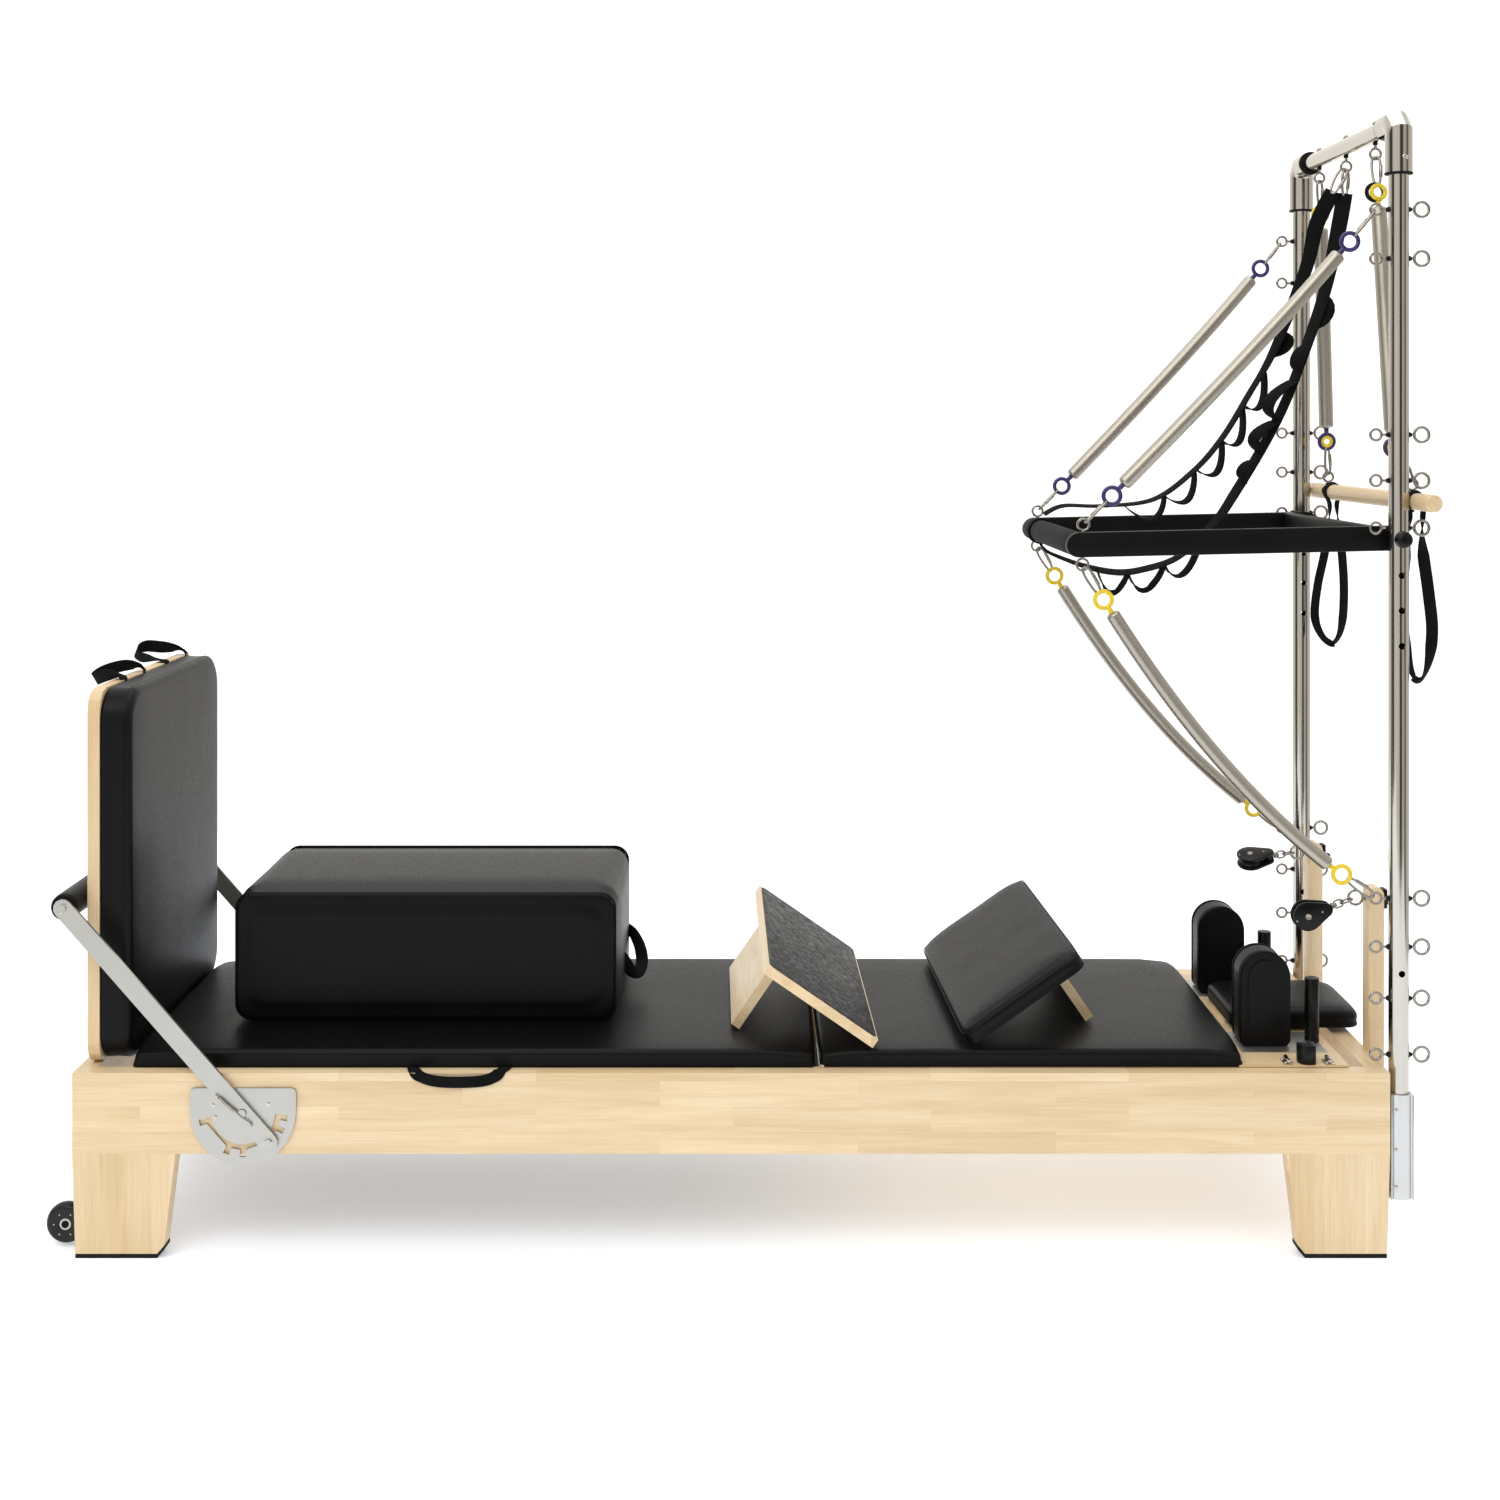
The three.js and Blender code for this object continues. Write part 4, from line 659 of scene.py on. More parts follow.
def crown_rows(thickness, edge, crown, reach):
    """Height and inset over a pad's top, from its round edge to its middle."""
    rows = []
    shoulder = thickness - crown - edge
    for i in range(8):
        angle = math.pi / 2 * i / 7
        rows.append((shoulder + edge * math.sin(angle), edge * (1 - math.cos(angle))))
    for share in (0.16, 0.24, 0.34, 0.46, 0.6, 0.76, 0.9):
        rise = math.sin(min(1.0, share / 0.6) * math.pi / 2)
        rows.append((thickness - crown + crown * rise, max(edge * 1.15, reach * share)))
    return rows


def corner_share(x, y, half_length, half_width, reach):
    """From 0 away from a pad's corners to 1 at each of them."""
    near_x = max(0.0, 1 - (half_length - abs(x)) / reach)
    near_y = max(0.0, 1 - (half_width - abs(y)) / reach)
    return (near_x * near_y) ** 1.5


def fallen(p, half_length, half_width, thickness, droop, reach):
    """A pad's point after its corners have fallen away."""
    fall = corner_share(p.x, p.y, half_length, half_width, reach) * p.z / thickness
    drawn = 1 - fall * droop * 0.4 / min(half_length, half_width)
    return Vector((p.x * drawn, p.y * drawn, p.z - droop * fall))


def cushion_shape(outline, half_length, half_width, thickness, edge, crown,
                  droop, reach, pull, ripple=0.5, base_in=2.0):
    """A pad on a flat base: sides that pull in at mid height, a round top edge and a crowned top.

    Its corners fall away by droop within reach of them, as stretched covers do."""
    base = thickness * 0.08
    shoulder = thickness - crown - edge
    rows = [(0, base_in), (base * 0.4, base_in * 0.3), (base, 0)]
    for i in range(1, 6):
        rows.append((base + (shoulder - base) * i / 6, pull * math.sin(math.pi * i / 6)))
    rows += crown_rows(thickness, edge, crown, min(half_length, half_width))
    rings = []
    for height, inset in rows:
        ring = []
        for x, y in scaled_ring(outline, half_length, half_width, inset):
            lift = 0.0
            if height > shoulder:
                lift = ripple * noise.noise(Vector((x / 90, y / 90, 3.1 * half_width)))
            point = Vector((x, y, height + lift))
            ring.append(fallen(point, half_length, half_width, thickness, droop, reach))
        rings.append(ring)
    return Shape().rings(rings)


def slab_shape(outline, half_length, half_width, depth, edge, crown, bulge):
    """An upholstered block: a band that swells by bulge between two faces with a seam's groove round each.

    Each face is a flat panel, raised by crown, and the rim round it folds back beneath it."""
    face = []
    reach = min(half_length, half_width)
    for share in (0.85, 0.7, 0.55, 0.4, 0.28):
        face.append((crown * (1 - math.sin((1 - share) / 0.72 * math.pi / 2)), reach * share))
    for i in range(5):
        drawn = edge * (1 - math.sin(math.pi / 8 * i))
        face.append((crown + drawn, drawn))
    face = sorted(face)
    last = face[-1][0]
    band = [(last + (depth - 2 * last) * i / 8, -bulge * math.sin(math.pi * i / 8)) for i in range(1, 8)]
    rows = face + band + [(depth - d, inset) for d, inset in reversed(face)]
    rings = [[Vector((x, y, d)) for x, y in scaled_ring(outline, half_length, half_width, inset)]
             for d, inset in rows]
    return Shape().rings(rings), last


PUFF_FRAMES = 20


def puff(thing, held, pressure, cap, voxel):
    """Cloth pressure fills a pad out. Held points stay, and no point moves much further than cap."""
    scene = bpy.context.scene
    remesh = thing.modifiers.new("voxels", "REMESH")
    remesh.mode = "VOXEL"
    remesh.voxel_size = voxel * MM
    material = thing.data.materials[0]
    mesh = bpy.data.meshes.new_from_object(thing.evaluated_get(bpy.context.evaluated_depsgraph_get()))
    thing.modifiers.clear()
    thing.data = mesh
    mesh.materials.clear()
    mesh.materials.append(material)
    rest = [v.co.copy() for v in mesh.vertices]
    group = thing.vertex_groups.new(name="held")
    still = [i for i, co in enumerate(rest) if held(millimetres(co))]
    group.add(still, 1.0, "REPLACE")
    cloth = thing.modifiers.new("cloth", "CLOTH")
    cloth.settings.quality = 4
    cloth.settings.mass = 0.3
    cloth.settings.use_pressure = True
    cloth.settings.uniform_pressure_force = pressure
    cloth.settings.effector_weights.gravity = 0
    cloth.settings.vertex_group_mass = "held"
    cloth.collision_settings.use_collision = False
    cloth.point_cache.frame_start = 1
    cloth.point_cache.frame_end = PUFF_FRAMES
    for frame_number in range(1, PUFF_FRAMES + 1):
        scene.frame_set(frame_number)
    moved = thing.evaluated_get(bpy.context.evaluated_depsgraph_get()).data
    ends = [v.co.copy() for v in moved.vertices]
    thing.modifiers.clear()
    thing.vertex_groups.clear()
    scene.frame_set(1)
    for vertex, start, end in zip(mesh.vertices, rest, ends):
        way = end - start
        size = way.length / (cap * MM)
        if size > 1e-6:
            vertex.co = start + way * (math.tanh(size) / size)
    mesh.shade_smooth()
    smooth = thing.modifiers.new("smooth", "SUBSURF")
    smooth.levels = 1
    smooth.render_levels = 1
    return thing


PIPING_RADIUS = 1.1


def pad_on(name, body, nodes, length, width, thickness, corner, edge, crown, place,
           seam_lift, droop, reach, **more):
    """A rectangular cushion with its piping, set in place by a function of its own points."""
    outline = rounded_rectangle(length, width, corner, 8, 14)
    shape = cushion_shape(outline, length / 2, width / 2, thickness, edge, crown,
                          droop=droop, reach=reach, **more)
    shape.move(place).piece(name, body, "vinyl", nodes, sharp=60)
    line = [fallen(Vector((x, y, seam_lift)), length / 2, width / 2, thickness, droop, reach)
            for x, y in rounded_rectangle(length - 1, width - 1, corner, 8, 14)]
    Shape().wire(line, PIPING_RADIUS, 6, Z, True).move(place).piece(name + "_piping", body, "thread")


def face_piping(outline, depths, place, radius, sides):
    """Piping round both faces of an upholstered block."""
    piping = Shape()
    for depth in depths:
        piping.wire([place(Vector((x, y, depth))) for x, y in outline], radius, sides, Y, loops=True)
    return piping


# Webbing
WEB_WIDTH = 25
WEB_THICKNESS = 2.6


def band_section(width, thickness):
    """A web's cross-section, thinner at its woven edges."""
    half, thick = width / 2, thickness / 2
    side = [(-half, -thick * 0.55), (-half * 0.94, -thick), (half * 0.94, -thick), (half, -thick * 0.55)]
    return side + [(-x, -y) for x, y in side]


def strap_band(name, body, route, width, across):
    """A flat web along a route. across is its width's direction at each route point."""
    points = smooth_line([Vector(p) for p in route], 6)
    across = smooth_line([Vector(a) for a in across], 6)
    band = Shape().sweep(points, band_section(width, WEB_THICKNESS), across)
    band.piece(name, body, "webbing", sharp=50)


# The frame
for side, sign in SIDES:
    dress(f"side_frame_{side}", "maple", WOOD_FRAME, bevel=3.5, segments=3)
    for end in ("foot", "tower"):
        dress(f"foot_pad_{side}_{end}", "rubber", bevel=1.2)
    dress(f"track_{side}", "aluminium", bevel=0.8)
    dress(f"wheel_bracket_{side}", "black_metal", bevel=0.8)
    dress(f"quadrant_{side}", "brushed_steel", bevel=0.7)
    dress(f"footbar_arm_{side}", "brushed_steel", bevel=0.9)
for node, wood_kind, bevel in (("end_board_foot", WOOD_Y, 3), ("end_board_tower", WOOD_Y, 3),
                               ("jump_board_panel", WOOD_PANEL, 3), ("slant_board", WOOD_Y, 3),
                               ("slant_board_leg", WOOD_Y, 2), ("wedge_leg", WOOD_Y, 2)):
    dress(node, "maple", wood_kind, bevel=bevel, segments=3)
dress("carriage_platform", "maple", WOOD_X, bevel=1.2)
dress("spring_bar", "brushed_steel", bevel=2)


# Transport wheels
BEARING = [(0, 5.2), (0, 10.5), (1.5, 11), (1.5, 5.2)]


def wheel_shape():
    low, _, size, middle = node_space("transport_wheel_near")
    centre = Vector((middle.x, low.y, middle.z))
    radius, width = size.z / 2, size.y
    bore, hub, web_face, tread = 4.6, 11, 0.8, 9
    profile = [(4, bore), (2.5, bore + 0.6), (2.5, hub), (web_face, hub + 1), (0, hub + 3)]
    profile.append((0.6, radius - tread - 3))
    for i in range(11):
        angle = math.pi * i / 10
        profile.append((width / 2 * (1 - math.cos(angle)), radius - tread + tread * math.sin(angle)))
    profile += [(width - 0.5, radius - tread - 3), (width, hub + 1), (width, bore)]
    return Shape().tube(centre, Y, profile, 48), centre, radius


for side, sign in SIDES:
    tyre, centre, radius = wheel_shape()
    tyre.on_side(sign).piece(f"wheel_tyre_{side}", f"wheel_{side}", "wheel_tyre",
                             (f"transport_wheel_{side}",))
    hub = Shape()
    hub.tube(centre + Y * 1.6, Y, BEARING, 32)
    for angle in turns(6):
        spot = centre + Vector((math.cos(angle) * radius * 0.55, 0.9, math.sin(angle) * radius * 0.55))
        hub.rod(spot, spot - Y * 1.2, 1.5, 10, 0.3)
    hub.on_side(sign).piece(f"wheel_bearing_{side}", f"wheel_{side}", "brushed_steel")

# Jump board: its pad and the two webbing loops clamped between panel and pad
_, panel_high, _, panel_middle = node_space("jump_board_panel")
pad_low, _, pad_size, _ = node_space("jump_board_pad")
JUMP_PAD_CORNER = 58
pad_on("jump_pad", "jump_board", ("jump_board_pad",), pad_size.y - 3, pad_size.z - 3, pad_size.x,
       JUMP_PAD_CORNER, 15, 3, lambda p: Vector((pad_low.x + p.z, p.x, panel_middle.z + p.y)),
       seam_lift=42, pull=0.8, droop=3, reach=60)

JOINT_X = panel_high.x + 0.2
TOP_Z = panel_high.z
JUMP_LOOPS = {
    "near": ([(JOINT_X, -151, TOP_Z - 6), (JOINT_X - 4, -150, TOP_Z + 4), (22, -143, TOP_Z + 11),
              (-8, -128, TOP_Z + 5), (-36, -102, TOP_Z - 5), (-26, -80, TOP_Z + 7), (4, -60, TOP_Z + 15),
              (24, -42, TOP_Z + 12), (JOINT_X - 4, -30, TOP_Z + 5), (JOINT_X, -27, TOP_Z - 6)],
             [(0, 1, 0), (0.2, 1, 0), (0.4, 0.8, -0.5), (0.3, 0.3, -0.9), (0.5, 0, -0.85), (0, 0.3, -0.95),
              (0, 0.4, -0.9), (-0.2, 0.8, -0.6), (-0.2, 1, 0), (0, 1, 0)]),
    "far": ([(JOINT_X, 109, TOP_Z - 6), (JOINT_X - 5, 111, TOP_Z + 4), (0, 128, TOP_Z + 8),
             (-30, 150, TOP_Z + 7), (-43, 172, TOP_Z + 17), (-30, 192, TOP_Z + 24), (-7, 207, TOP_Z + 21),
             (16, 228, TOP_Z + 15), (JOINT_X - 6, 248, TOP_Z + 7), (JOINT_X, 255, TOP_Z - 6)],
            [(0, 1, 0), (0.2, 1, 0), (0.4, 0.6, -0.6), (0.3, 0.2, -0.9), (-0.4, 0.1, -0.9),
             (-0.2, 0.1, -0.97), (0, 0.2, -1), (-0.2, 0.7, -0.7), (-0.2, 1, 0), (0, 1, 0)]),
}
for side, (route, across) in JUMP_LOOPS.items():
    strap_band(f"jump_board_loop_{side}", "jump_board", route, WEB_WIDTH, across)

# Mat and carriage cushions, black down to the rails
_, mat_high, mat_size, mat_middle = node_space("mat_cushion")
mat_base = node_box("mat_board")[0].z + 0.2
carriage_low, _, carriage_size, carriage_middle = node_space("carriage_cushion")
PAD_CORNER = 10
PAD_STRETCH = 1.2


def flat_pad(name, body, nodes, size, middle, base, seam_lift, base_in):
    """One of the two cushions that lie level, each stretched a little towards the other."""
    pad_on(name, body, nodes, size.x + PAD_STRETCH, size.y, size.z, PAD_CORNER, 10, 2.5,
           lambda p: Vector((middle + p.x, p.y, base + p.z)),
           seam_lift, base_in=base_in, pull=0.4, droop=9, reach=80)


flat_pad("mat_pad", "mat", ("mat_cushion", "mat_board"),
         Vector((mat_size.x, mat_size.y, mat_high.z - mat_base)),
         mat_middle.x + PAD_STRETCH / 2, mat_base, 5, 1.0)
carriage_centre = carriage_middle.x - PAD_STRETCH / 2
flat_pad("carriage_pad", "carriage", ("carriage_cushion",), carriage_size,
         carriage_centre, carriage_low.z, 3, 0.3)

# A thin skirt carries the carriage's black edge down to the rails
SKIRT_GAP, SKIRT_THICK = 0.4, 3
skirt_low, skirt_top = mat_base + 1, carriage_low.z + 3
skirt = []
for height, inset in ((skirt_low, 0.2), (skirt_top, 0), (skirt_top, SKIRT_THICK), (skirt_low, SKIRT_THICK)):
    outline = rounded_rectangle(carriage_size.x + PAD_STRETCH + 2 * (SKIRT_GAP - inset),
                                carriage_size.y + 2 * (SKIRT_GAP - inset), PAD_CORNER - inset, 8, 14)
    skirt.append([Vector((carriage_centre + x, y, height)) for x, y in outline])
Shape().rings(skirt, loops=True).piece("carriage_skirt", "carriage", "vinyl")

# A black sheet on the carriage reaches below the mat's end and stands in for the shade in the gap between the
# pads (painted shade), so the gap shows no floor
shade_sheet_start = carriage_low.x - PAD_STRETCH
shade_sheet_low = node_box("carriage_platform")[0].z + 1
SHADE_SHEET_REACH, SHADE_SHEET_BACK, SHADE_SHEET_HALF, SHADE_SHEET_THICK = 22, 3, 262, 4
shade_sheet = [(shade_sheet_start + x, y) for x, y in ((-SHADE_SHEET_REACH, SHADE_SHEET_HALF), (SHADE_SHEET_BACK, SHADE_SHEET_HALF),
                                       (SHADE_SHEET_BACK, -SHADE_SHEET_HALF), (-SHADE_SHEET_REACH, -SHADE_SHEET_HALF))]
Shape().plate(shade_sheet, lambda x, y, z: Vector((x, y, shade_sheet_low + z)), SHADE_SHEET_THICK, 1).piece(
    "carriage_shade_sheet", "carriage", "vinyl")

# The mat's webbing handle lies on the rail's edge at one end and droops over its face
handle_y = RAIL_FACE - 2.6
HANDLE = [(616, -300, FRAME_TOP + 1.8), (622, -322, FRAME_TOP + 1.9), (632, handle_y - 1, FRAME_TOP - 3),
          (648, handle_y - 2, FRAME_TOP - 10), (672, handle_y - 3, FRAME_TOP - 14),
          (702, handle_y - 3, FRAME_TOP - 15), (734, handle_y - 3, FRAME_TOP - 14),
          (756, handle_y - 2, FRAME_TOP - 11), (772, handle_y - 1, FRAME_TOP - 4),
          (780, -324, FRAME_TOP + 1.9), (788, -300, FRAME_TOP + 1.8)]
HANDLE_ACROSS = [(1, 0, 0), (1, 0, 0), (0.75, -0.2, 0.6), (0.35, -0.2, 0.9), (0.12, -0.2, 0.97),
                 (0, -0.2, 0.98), (-0.05, -0.2, 0.97), (-0.4, -0.2, 0.88), (-0.8, -0.2, 0.5),
                 (-1, 0, 0), (-1, 0, 0)]
strap_band("mat_handle", "mat", HANDLE, 22, HANDLE_ACROSS)

# Sitting box: a face towards each side, a swelling band between their seams, and handles
box_low, _, box_size, box_middle = node_space("sitting_box")
BOX_CORNER = 32
BOX_EDGE = 7
BOX_CROWN = 3


def in_box(p):
    """Along the box, up it, and from its near face to its far one."""
    return Vector((box_middle.x + p.x, box_low.y + p.z, box_middle.z + p.y))


# The cloth draws the cover in a little, so it starts taller than the box
box_outline = rounded_rectangle(box_size.x - 1, box_size.z + 1.5, BOX_CORNER, 8, 14)
box_shape, seam_depth = slab_shape(box_outline, box_size.x / 2, box_size.z / 2, box_size.y,
                                   BOX_EDGE, BOX_CROWN, 1.5)
box_pad = box_shape.move(in_box).piece("box_cover", "box", "vinyl", ("sitting_box",), sharp=60)
box_seams = (seam_depth, box_size.y - seam_depth)
HELD_REACH = 12


def by_box_seam(p):
    """Whether a point is on the box's base or so near a seam that the cloth leaves it."""
    depth = p.y - box_low.y
    return p.z < box_low.z + 2 or any(abs(depth - seam) < HELD_REACH for seam in box_seams)


puff(box_pad, by_box_seam, pressure=4.0, cap=3.5, voxel=7)
piping_outline = rounded_rectangle(box_size.x - 8, box_size.z - 6, BOX_CORNER - 3, 8, 14)
face_piping(piping_outline, box_seams, in_box, 2.2, 8).piece("box_piping", "box", "thread")
# Each row: distance out from the end face, place across, height, and the web's width direction
BOX_HANDLE = [(0, 186, 462, (0, 0, 1)), (5, 182, 462, (0, 0, 1)), (17, 160, 456, (0.35, 0.1, 0.9)),
              (30, 130, 440, (0.75, 0, 0.6)), (36, 100, 420, (1, 0.3, 0)), (31, 66, 408, (0.7, 0.3, -0.6)),
              (17, 40, 418, (0.1, 0.3, -0.95)), (5, 22, 444, (0, 0.1, -1)), (0, 14, 452, (0, 0, -1))]
for end, sign in (("foot", -1), ("tower", 1)):
    face = box_middle.x + sign * (box_size.x / 2 - 1.5)
    strap_band(f"box_handle_{end}", "box", [(face + sign * out, y, z) for out, y, z, _ in BOX_HANDLE],
               WEB_WIDTH, [(sign * turn[0], turn[1], turn[2]) for *_, turn in BOX_HANDLE])

# Wedge and slant board lie turned a little on the cushions
INCLINE = math.radians(34.6)
WEDGE_START = Vector((carriage_low.x + 265.5, 0, box_low.z))
WEDGE_LENGTH, WEDGE_THICKNESS, WEDGE_WIDTH = 262, 38, 600
SLANT_START = Vector((carriage_low.x + 90.5, 0, box_low.z))
SLANT_LENGTH, SLANT_THICKNESS, SLANT_WIDTH = 246, 18, 600
wedge_turn = Matrix.Rotation(math.radians(2), 3, "Z") @ Matrix.Rotation(-INCLINE, 3, "Y")
slant_turn = Matrix.Rotation(math.radians(1), 3, "Z") @ Matrix.Rotation(INCLINE, 3, "Y")


def on_wedge(p):
    return WEDGE_START + wedge_turn @ Vector((WEDGE_LENGTH / 2 + p.x, p.y, p.z))


def on_slant(x, y, z):
    return SLANT_START + slant_turn @ Vector((-x, y, z))


pad_on("wedge_pad", "wedge", ("wedge_cushion",), WEDGE_LENGTH, WEDGE_WIDTH, WEDGE_THICKNESS, 24, 13, 7,
       on_wedge, seam_lift=WEDGE_THICKNESS - 12, pull=1.0, ripple=1.0, droop=7, reach=60)
cover = [(SLANT_LENGTH / 2 + x, y) for x, y in rounded_rectangle(SLANT_LENGTH - 8, SLANT_WIDTH - 8, 14, 8)]
Shape().plate(cover, lambda x, y, z: on_slant(x, y, SLANT_THICKNESS - 0.4 + z), 2.2, 0.6).piece(
    "slant_cover", "slant_board", "grit_cover")

# Shoulder rests
rest_low, rest_high, rest_size, rest_middle = node_space("shoulder_rest_near")
REST_CORNER = 14


def rest_outline(width, height, corner):
    """A half-round top over straight sides with small lower corners, about the middle."""
    half, tall = width / 2, height / 2
    straight = 2 * tall - half - corner
    points = arc(0, tall - half, half, 0, 180, 22)
    points += [(-half, tall - half - straight * i / 6) for i in range(1, 6)]
    points += arc(corner - half, corner - tall, corner, 180, 270, 6)
    points += [((corner - half) + (2 * half - 2 * corner) * i / 5, -tall) for i in range(1, 5)]
    points += arc(half - corner, corner - tall, corner, 270, 360, 6)
    points += [(half, corner - tall + straight * i / 6) for i in range(1, 6)]
    return points


def in_rest(p):
    return Vector((rest_middle.x + p.x, rest_low.y + p.z, rest_middle.z + p.y))


for side, sign in SIDES:
    outline = rest_outline(rest_size.x - 1, rest_size.z - 1, REST_CORNER)
    rest, seam_depth = slab_shape(outline, rest_size.x / 2, rest_size.z / 2, rest_size.y, 7, 2.5, 0.4)
    thing = rest.move(in_rest).on_side(sign).piece(f"shoulder_pad_{side}", "carriage", "vinyl",
                                                   (f"shoulder_rest_{side}",), sharp=60)
    piping = face_piping(outline, (seam_depth, rest_size.y - seam_depth), in_rest, 1.5, 6)
    piping.on_side(sign).piece(f"shoulder_piping_{side}", "carriage", "thread")

# Headrest on its carrier plate
head_low, _, head_size, head_middle = node_space("headrest")
pad_on("head_pad", "headrest", ("headrest",), head_size.x, head_size.y, head_size.z, 26, 12, 5,
       lambda p: Vector((head_middle.x + p.x, p.y, head_low.z + p.z)), seam_lift=18, pull=0.8, ripple=0.6,
       droop=5, reach=60)

# Strap posts
platform_top = carriage_low.z - 0.3
for side, sign in SIDES:
    low, _, size, middle = node_space(f"strap_post_{side}")
    base = Vector((middle.x, middle.y, low.z))
    radius, tall = size.x / 2, size.z
    post = Shape().lathe(base, Z, [(0, radius), (tall * 0.06, radius), (tall * 0.07, radius - 0.8),
                                   (tall * 0.1, radius - 0.8), (tall * 0.11, radius), (tall - 1.2, radius),
                                   (tall - 0.3, radius - 0.4), (tall, radius - 1.4)], 32)
    post.piece(f"post_{side}", "carriage", "black_plastic", (f"strap_post_{side}",))

# Steel plates under the shoulder rests, the spring knob and its brackets
PLATE_REACH, PLATE_OUTER, PLATE_INNER = 60, 232, 115
for side, sign in SIDES:
    plate = Shape().box(Vector((rest_low.x - 6, -PLATE_OUTER, platform_top - 0.2)),
                        Vector((rest_high.x + PLATE_REACH, -PLATE_INNER, platform_top + 1)), 0.4)
    plate.on_side(sign).piece(f"rest_plate_{side}", "carriage", "brushed_steel")
KNOB = Vector((2262, -286, platform_top))
KNOB_RADIUS, KNOB_HEIGHT = 19.5, 36
knob_outline = arc(0, 0, KNOB_RADIUS, 55, 305, 22)
knob = Shape().plate(knob_outline, lambda x, y, z: KNOB + Vector((x, y, z)), KNOB_HEIGHT, 3.5)
knob.plate(arc(0, 0, KNOB_RADIUS - 7, 0, 345, 23),
           lambda x, y, z: KNOB + Vector((x - 1, y, KNOB_HEIGHT - 1 + z)), 2.2, 0.8)
knob.piece("spring_knob", "carriage", "black_plastic")
fittings = Shape()
KNOB_BRACKETS = (2225, 2301)
for x in KNOB_BRACKETS:
    spot = Vector((x, KNOB.y, platform_top))
    fittings.box(spot + Vector((-9, -15, -0.2)), spot + Vector((9, 15, 1.8)), 0.5)
    fittings.rod(spot + Vector((0, -13, 6)), spot + Vector((0, 13, 6)), 4.4, 16, 0.8)
    for y in (-10, 10):
        fittings.lathe(spot + Vector((-6, y, 1.6)), Z, BRACKET_SCREW, 16)
fittings.piece("knob_fittings", "carriage", "chrome")


# Footbar: padded grip, bolts and the plates' little hook springs
def footbar_point(along, up, y):
    """A point in the footbar's own frame, turned to its lean."""
    c, s = math.cos(FOOTBAR_LEAN), math.sin(FOOTBAR_LEAN)
    return FOOTBAR_PIVOT + Vector((along * c - up * s, y, along * s + up * c))


ARM_FACE = 341.6
PLATE_FACE = 335.3
FOOTBAR_GRIP_PLACE, FOOTBAR_GRIP_RADIUS = 494, 25.2
grip_end = PLATE_FACE - 0.4
grip = Shape()
grip_profile = [(0, 20), (0.6, 22.6), (3, 24.2), (9, 24.8), (40, 25)]
grip_profile.append((grip_end, FOOTBAR_GRIP_RADIUS))
grip_profile += [(2 * grip_end - along, r) for along, r in grip_profile[-2::-1]]
grip.lathe(footbar_point(FOOTBAR_GRIP_PLACE, 0, -grip_end), Y, grip_profile, 40)
grip.piece("footbar_pad", "footbar", "vinyl", ("footbar_grip",), sharp=60)


def lock_hook():
    """A small spring with a bent hook, from the arm to the plate's edge."""
    hook = Shape()
    start = footbar_point(58, 12, -ARM_FACE - 3.4)
    end = FOOTBAR_PIVOT + Vector((10, -ARM_FACE - 3.4, -14))
    coil = []
    for i in range(73):
        angle = i * math.pi / 4
        coil.append(start.lerp(end, 0.12 + 0.5 * i / 72) + (X * math.cos(angle) + Y * math.sin(angle)) * 3.4)
    hook.wire(coil, 1.0, 6, Z)
    hook.wire([start.lerp(end, s) for s in (0, 0.13)], 1.2, 6, Y)
    tip = [end + Vector((6, 0, -2)), end + Vector((9, 0, -8))]
    hook.wire([start.lerp(end, s) for s in (0.6, 0.85)] + tip, 1.2, 6, Y)
    return hook


# Along the arm, up from its middle, and radius: two bolts in the grip and one in the pivot
FOOTBAR_BOLTS = ((497, -6, 4), (490, 6, 4), (-72, 0, 8.5))
QUADRANT_SCREWS = ((-54, 12), (46, 14), (-50, -10))
for side, sign in SIDES:
    bolts = Shape()
    for along, up, radius in FOOTBAR_BOLTS:
        spot = footbar_point(along, up, -ARM_FACE + 0.4)
        bolts.lathe(spot, -Y, [(0, radius), (1.6, radius), (2.6, radius * 0.8), (3.0, radius * 0.35)], 24)
    bolts.on_side(sign).piece(f"footbar_bolts_{side}", "footbar", "chrome")
    screws = Shape()
    for x, z in QUADRANT_SCREWS:
        spot = FOOTBAR_PIVOT + Vector((x, -PLATE_FACE + 0.3, z))
        screws.lathe(spot, -Y, FLAT_SCREW, 16)
    screws.on_side(sign).piece(f"quadrant_screws_{side}", "frame", "chrome")
    lock_hook().on_side(sign).piece(f"lock_spring_{side}", "footbar", "spring_steel", material=NICKEL)

# Frame end screws
END_SCREW_Y, END_SCREW_HEIGHTS = 310, (300, 228)
screws = Shape()
for sign in (-1, 1):
    for z in END_SCREW_HEIGHTS:
        screws.lathe(Vector((0.4, sign * END_SCREW_Y, z)), -X, END_SCREW, 20)
screws.piece("end_screws", "frame", "chrome")


# Tower: tubes with their pin holes, elbows with black seals, sockets with screws
def drilled(shape, name, body, slot, replaces, holes, radius, depth):
    """Cuts round holes along Y through a tube."""
    thing = shape.piece(name, body, slot, replaces)
    cutter = Shape()
    for x, y, z in holes:
        cutter.rod(Vector((x, y - depth, z)), Vector((x, y + depth, z)), radius, 20, 0.01)
    tool = cutter.piece(name + "_cutter", None, slot)
    cut = thing.modifiers.new("holes", "BOOLEAN")
    cut.object = tool
    cut.operation = "DIFFERENCE"
    cut.solver = "EXACT"
    mesh = bpy.data.meshes.new_from_object(thing.evaluated_get(bpy.context.evaluated_depsgraph_get()))
    thing.modifiers.clear()
    thing.data = mesh
    bpy.data.objects.remove(tool)
    mesh.shade_smooth()
    mesh.set_sharp_from_angle(angle=math.radians(SHARP_ANGLE))
    return thing


# Heights of the pin holes and eyebolts of each upright
HOLES = (515, 1113, 1178, 1242, 1308)
HOLE_RADIUS = 6.1
EYES = (1912, 1822, 1499, 1415, 1328, 649, 560, 466, 363)


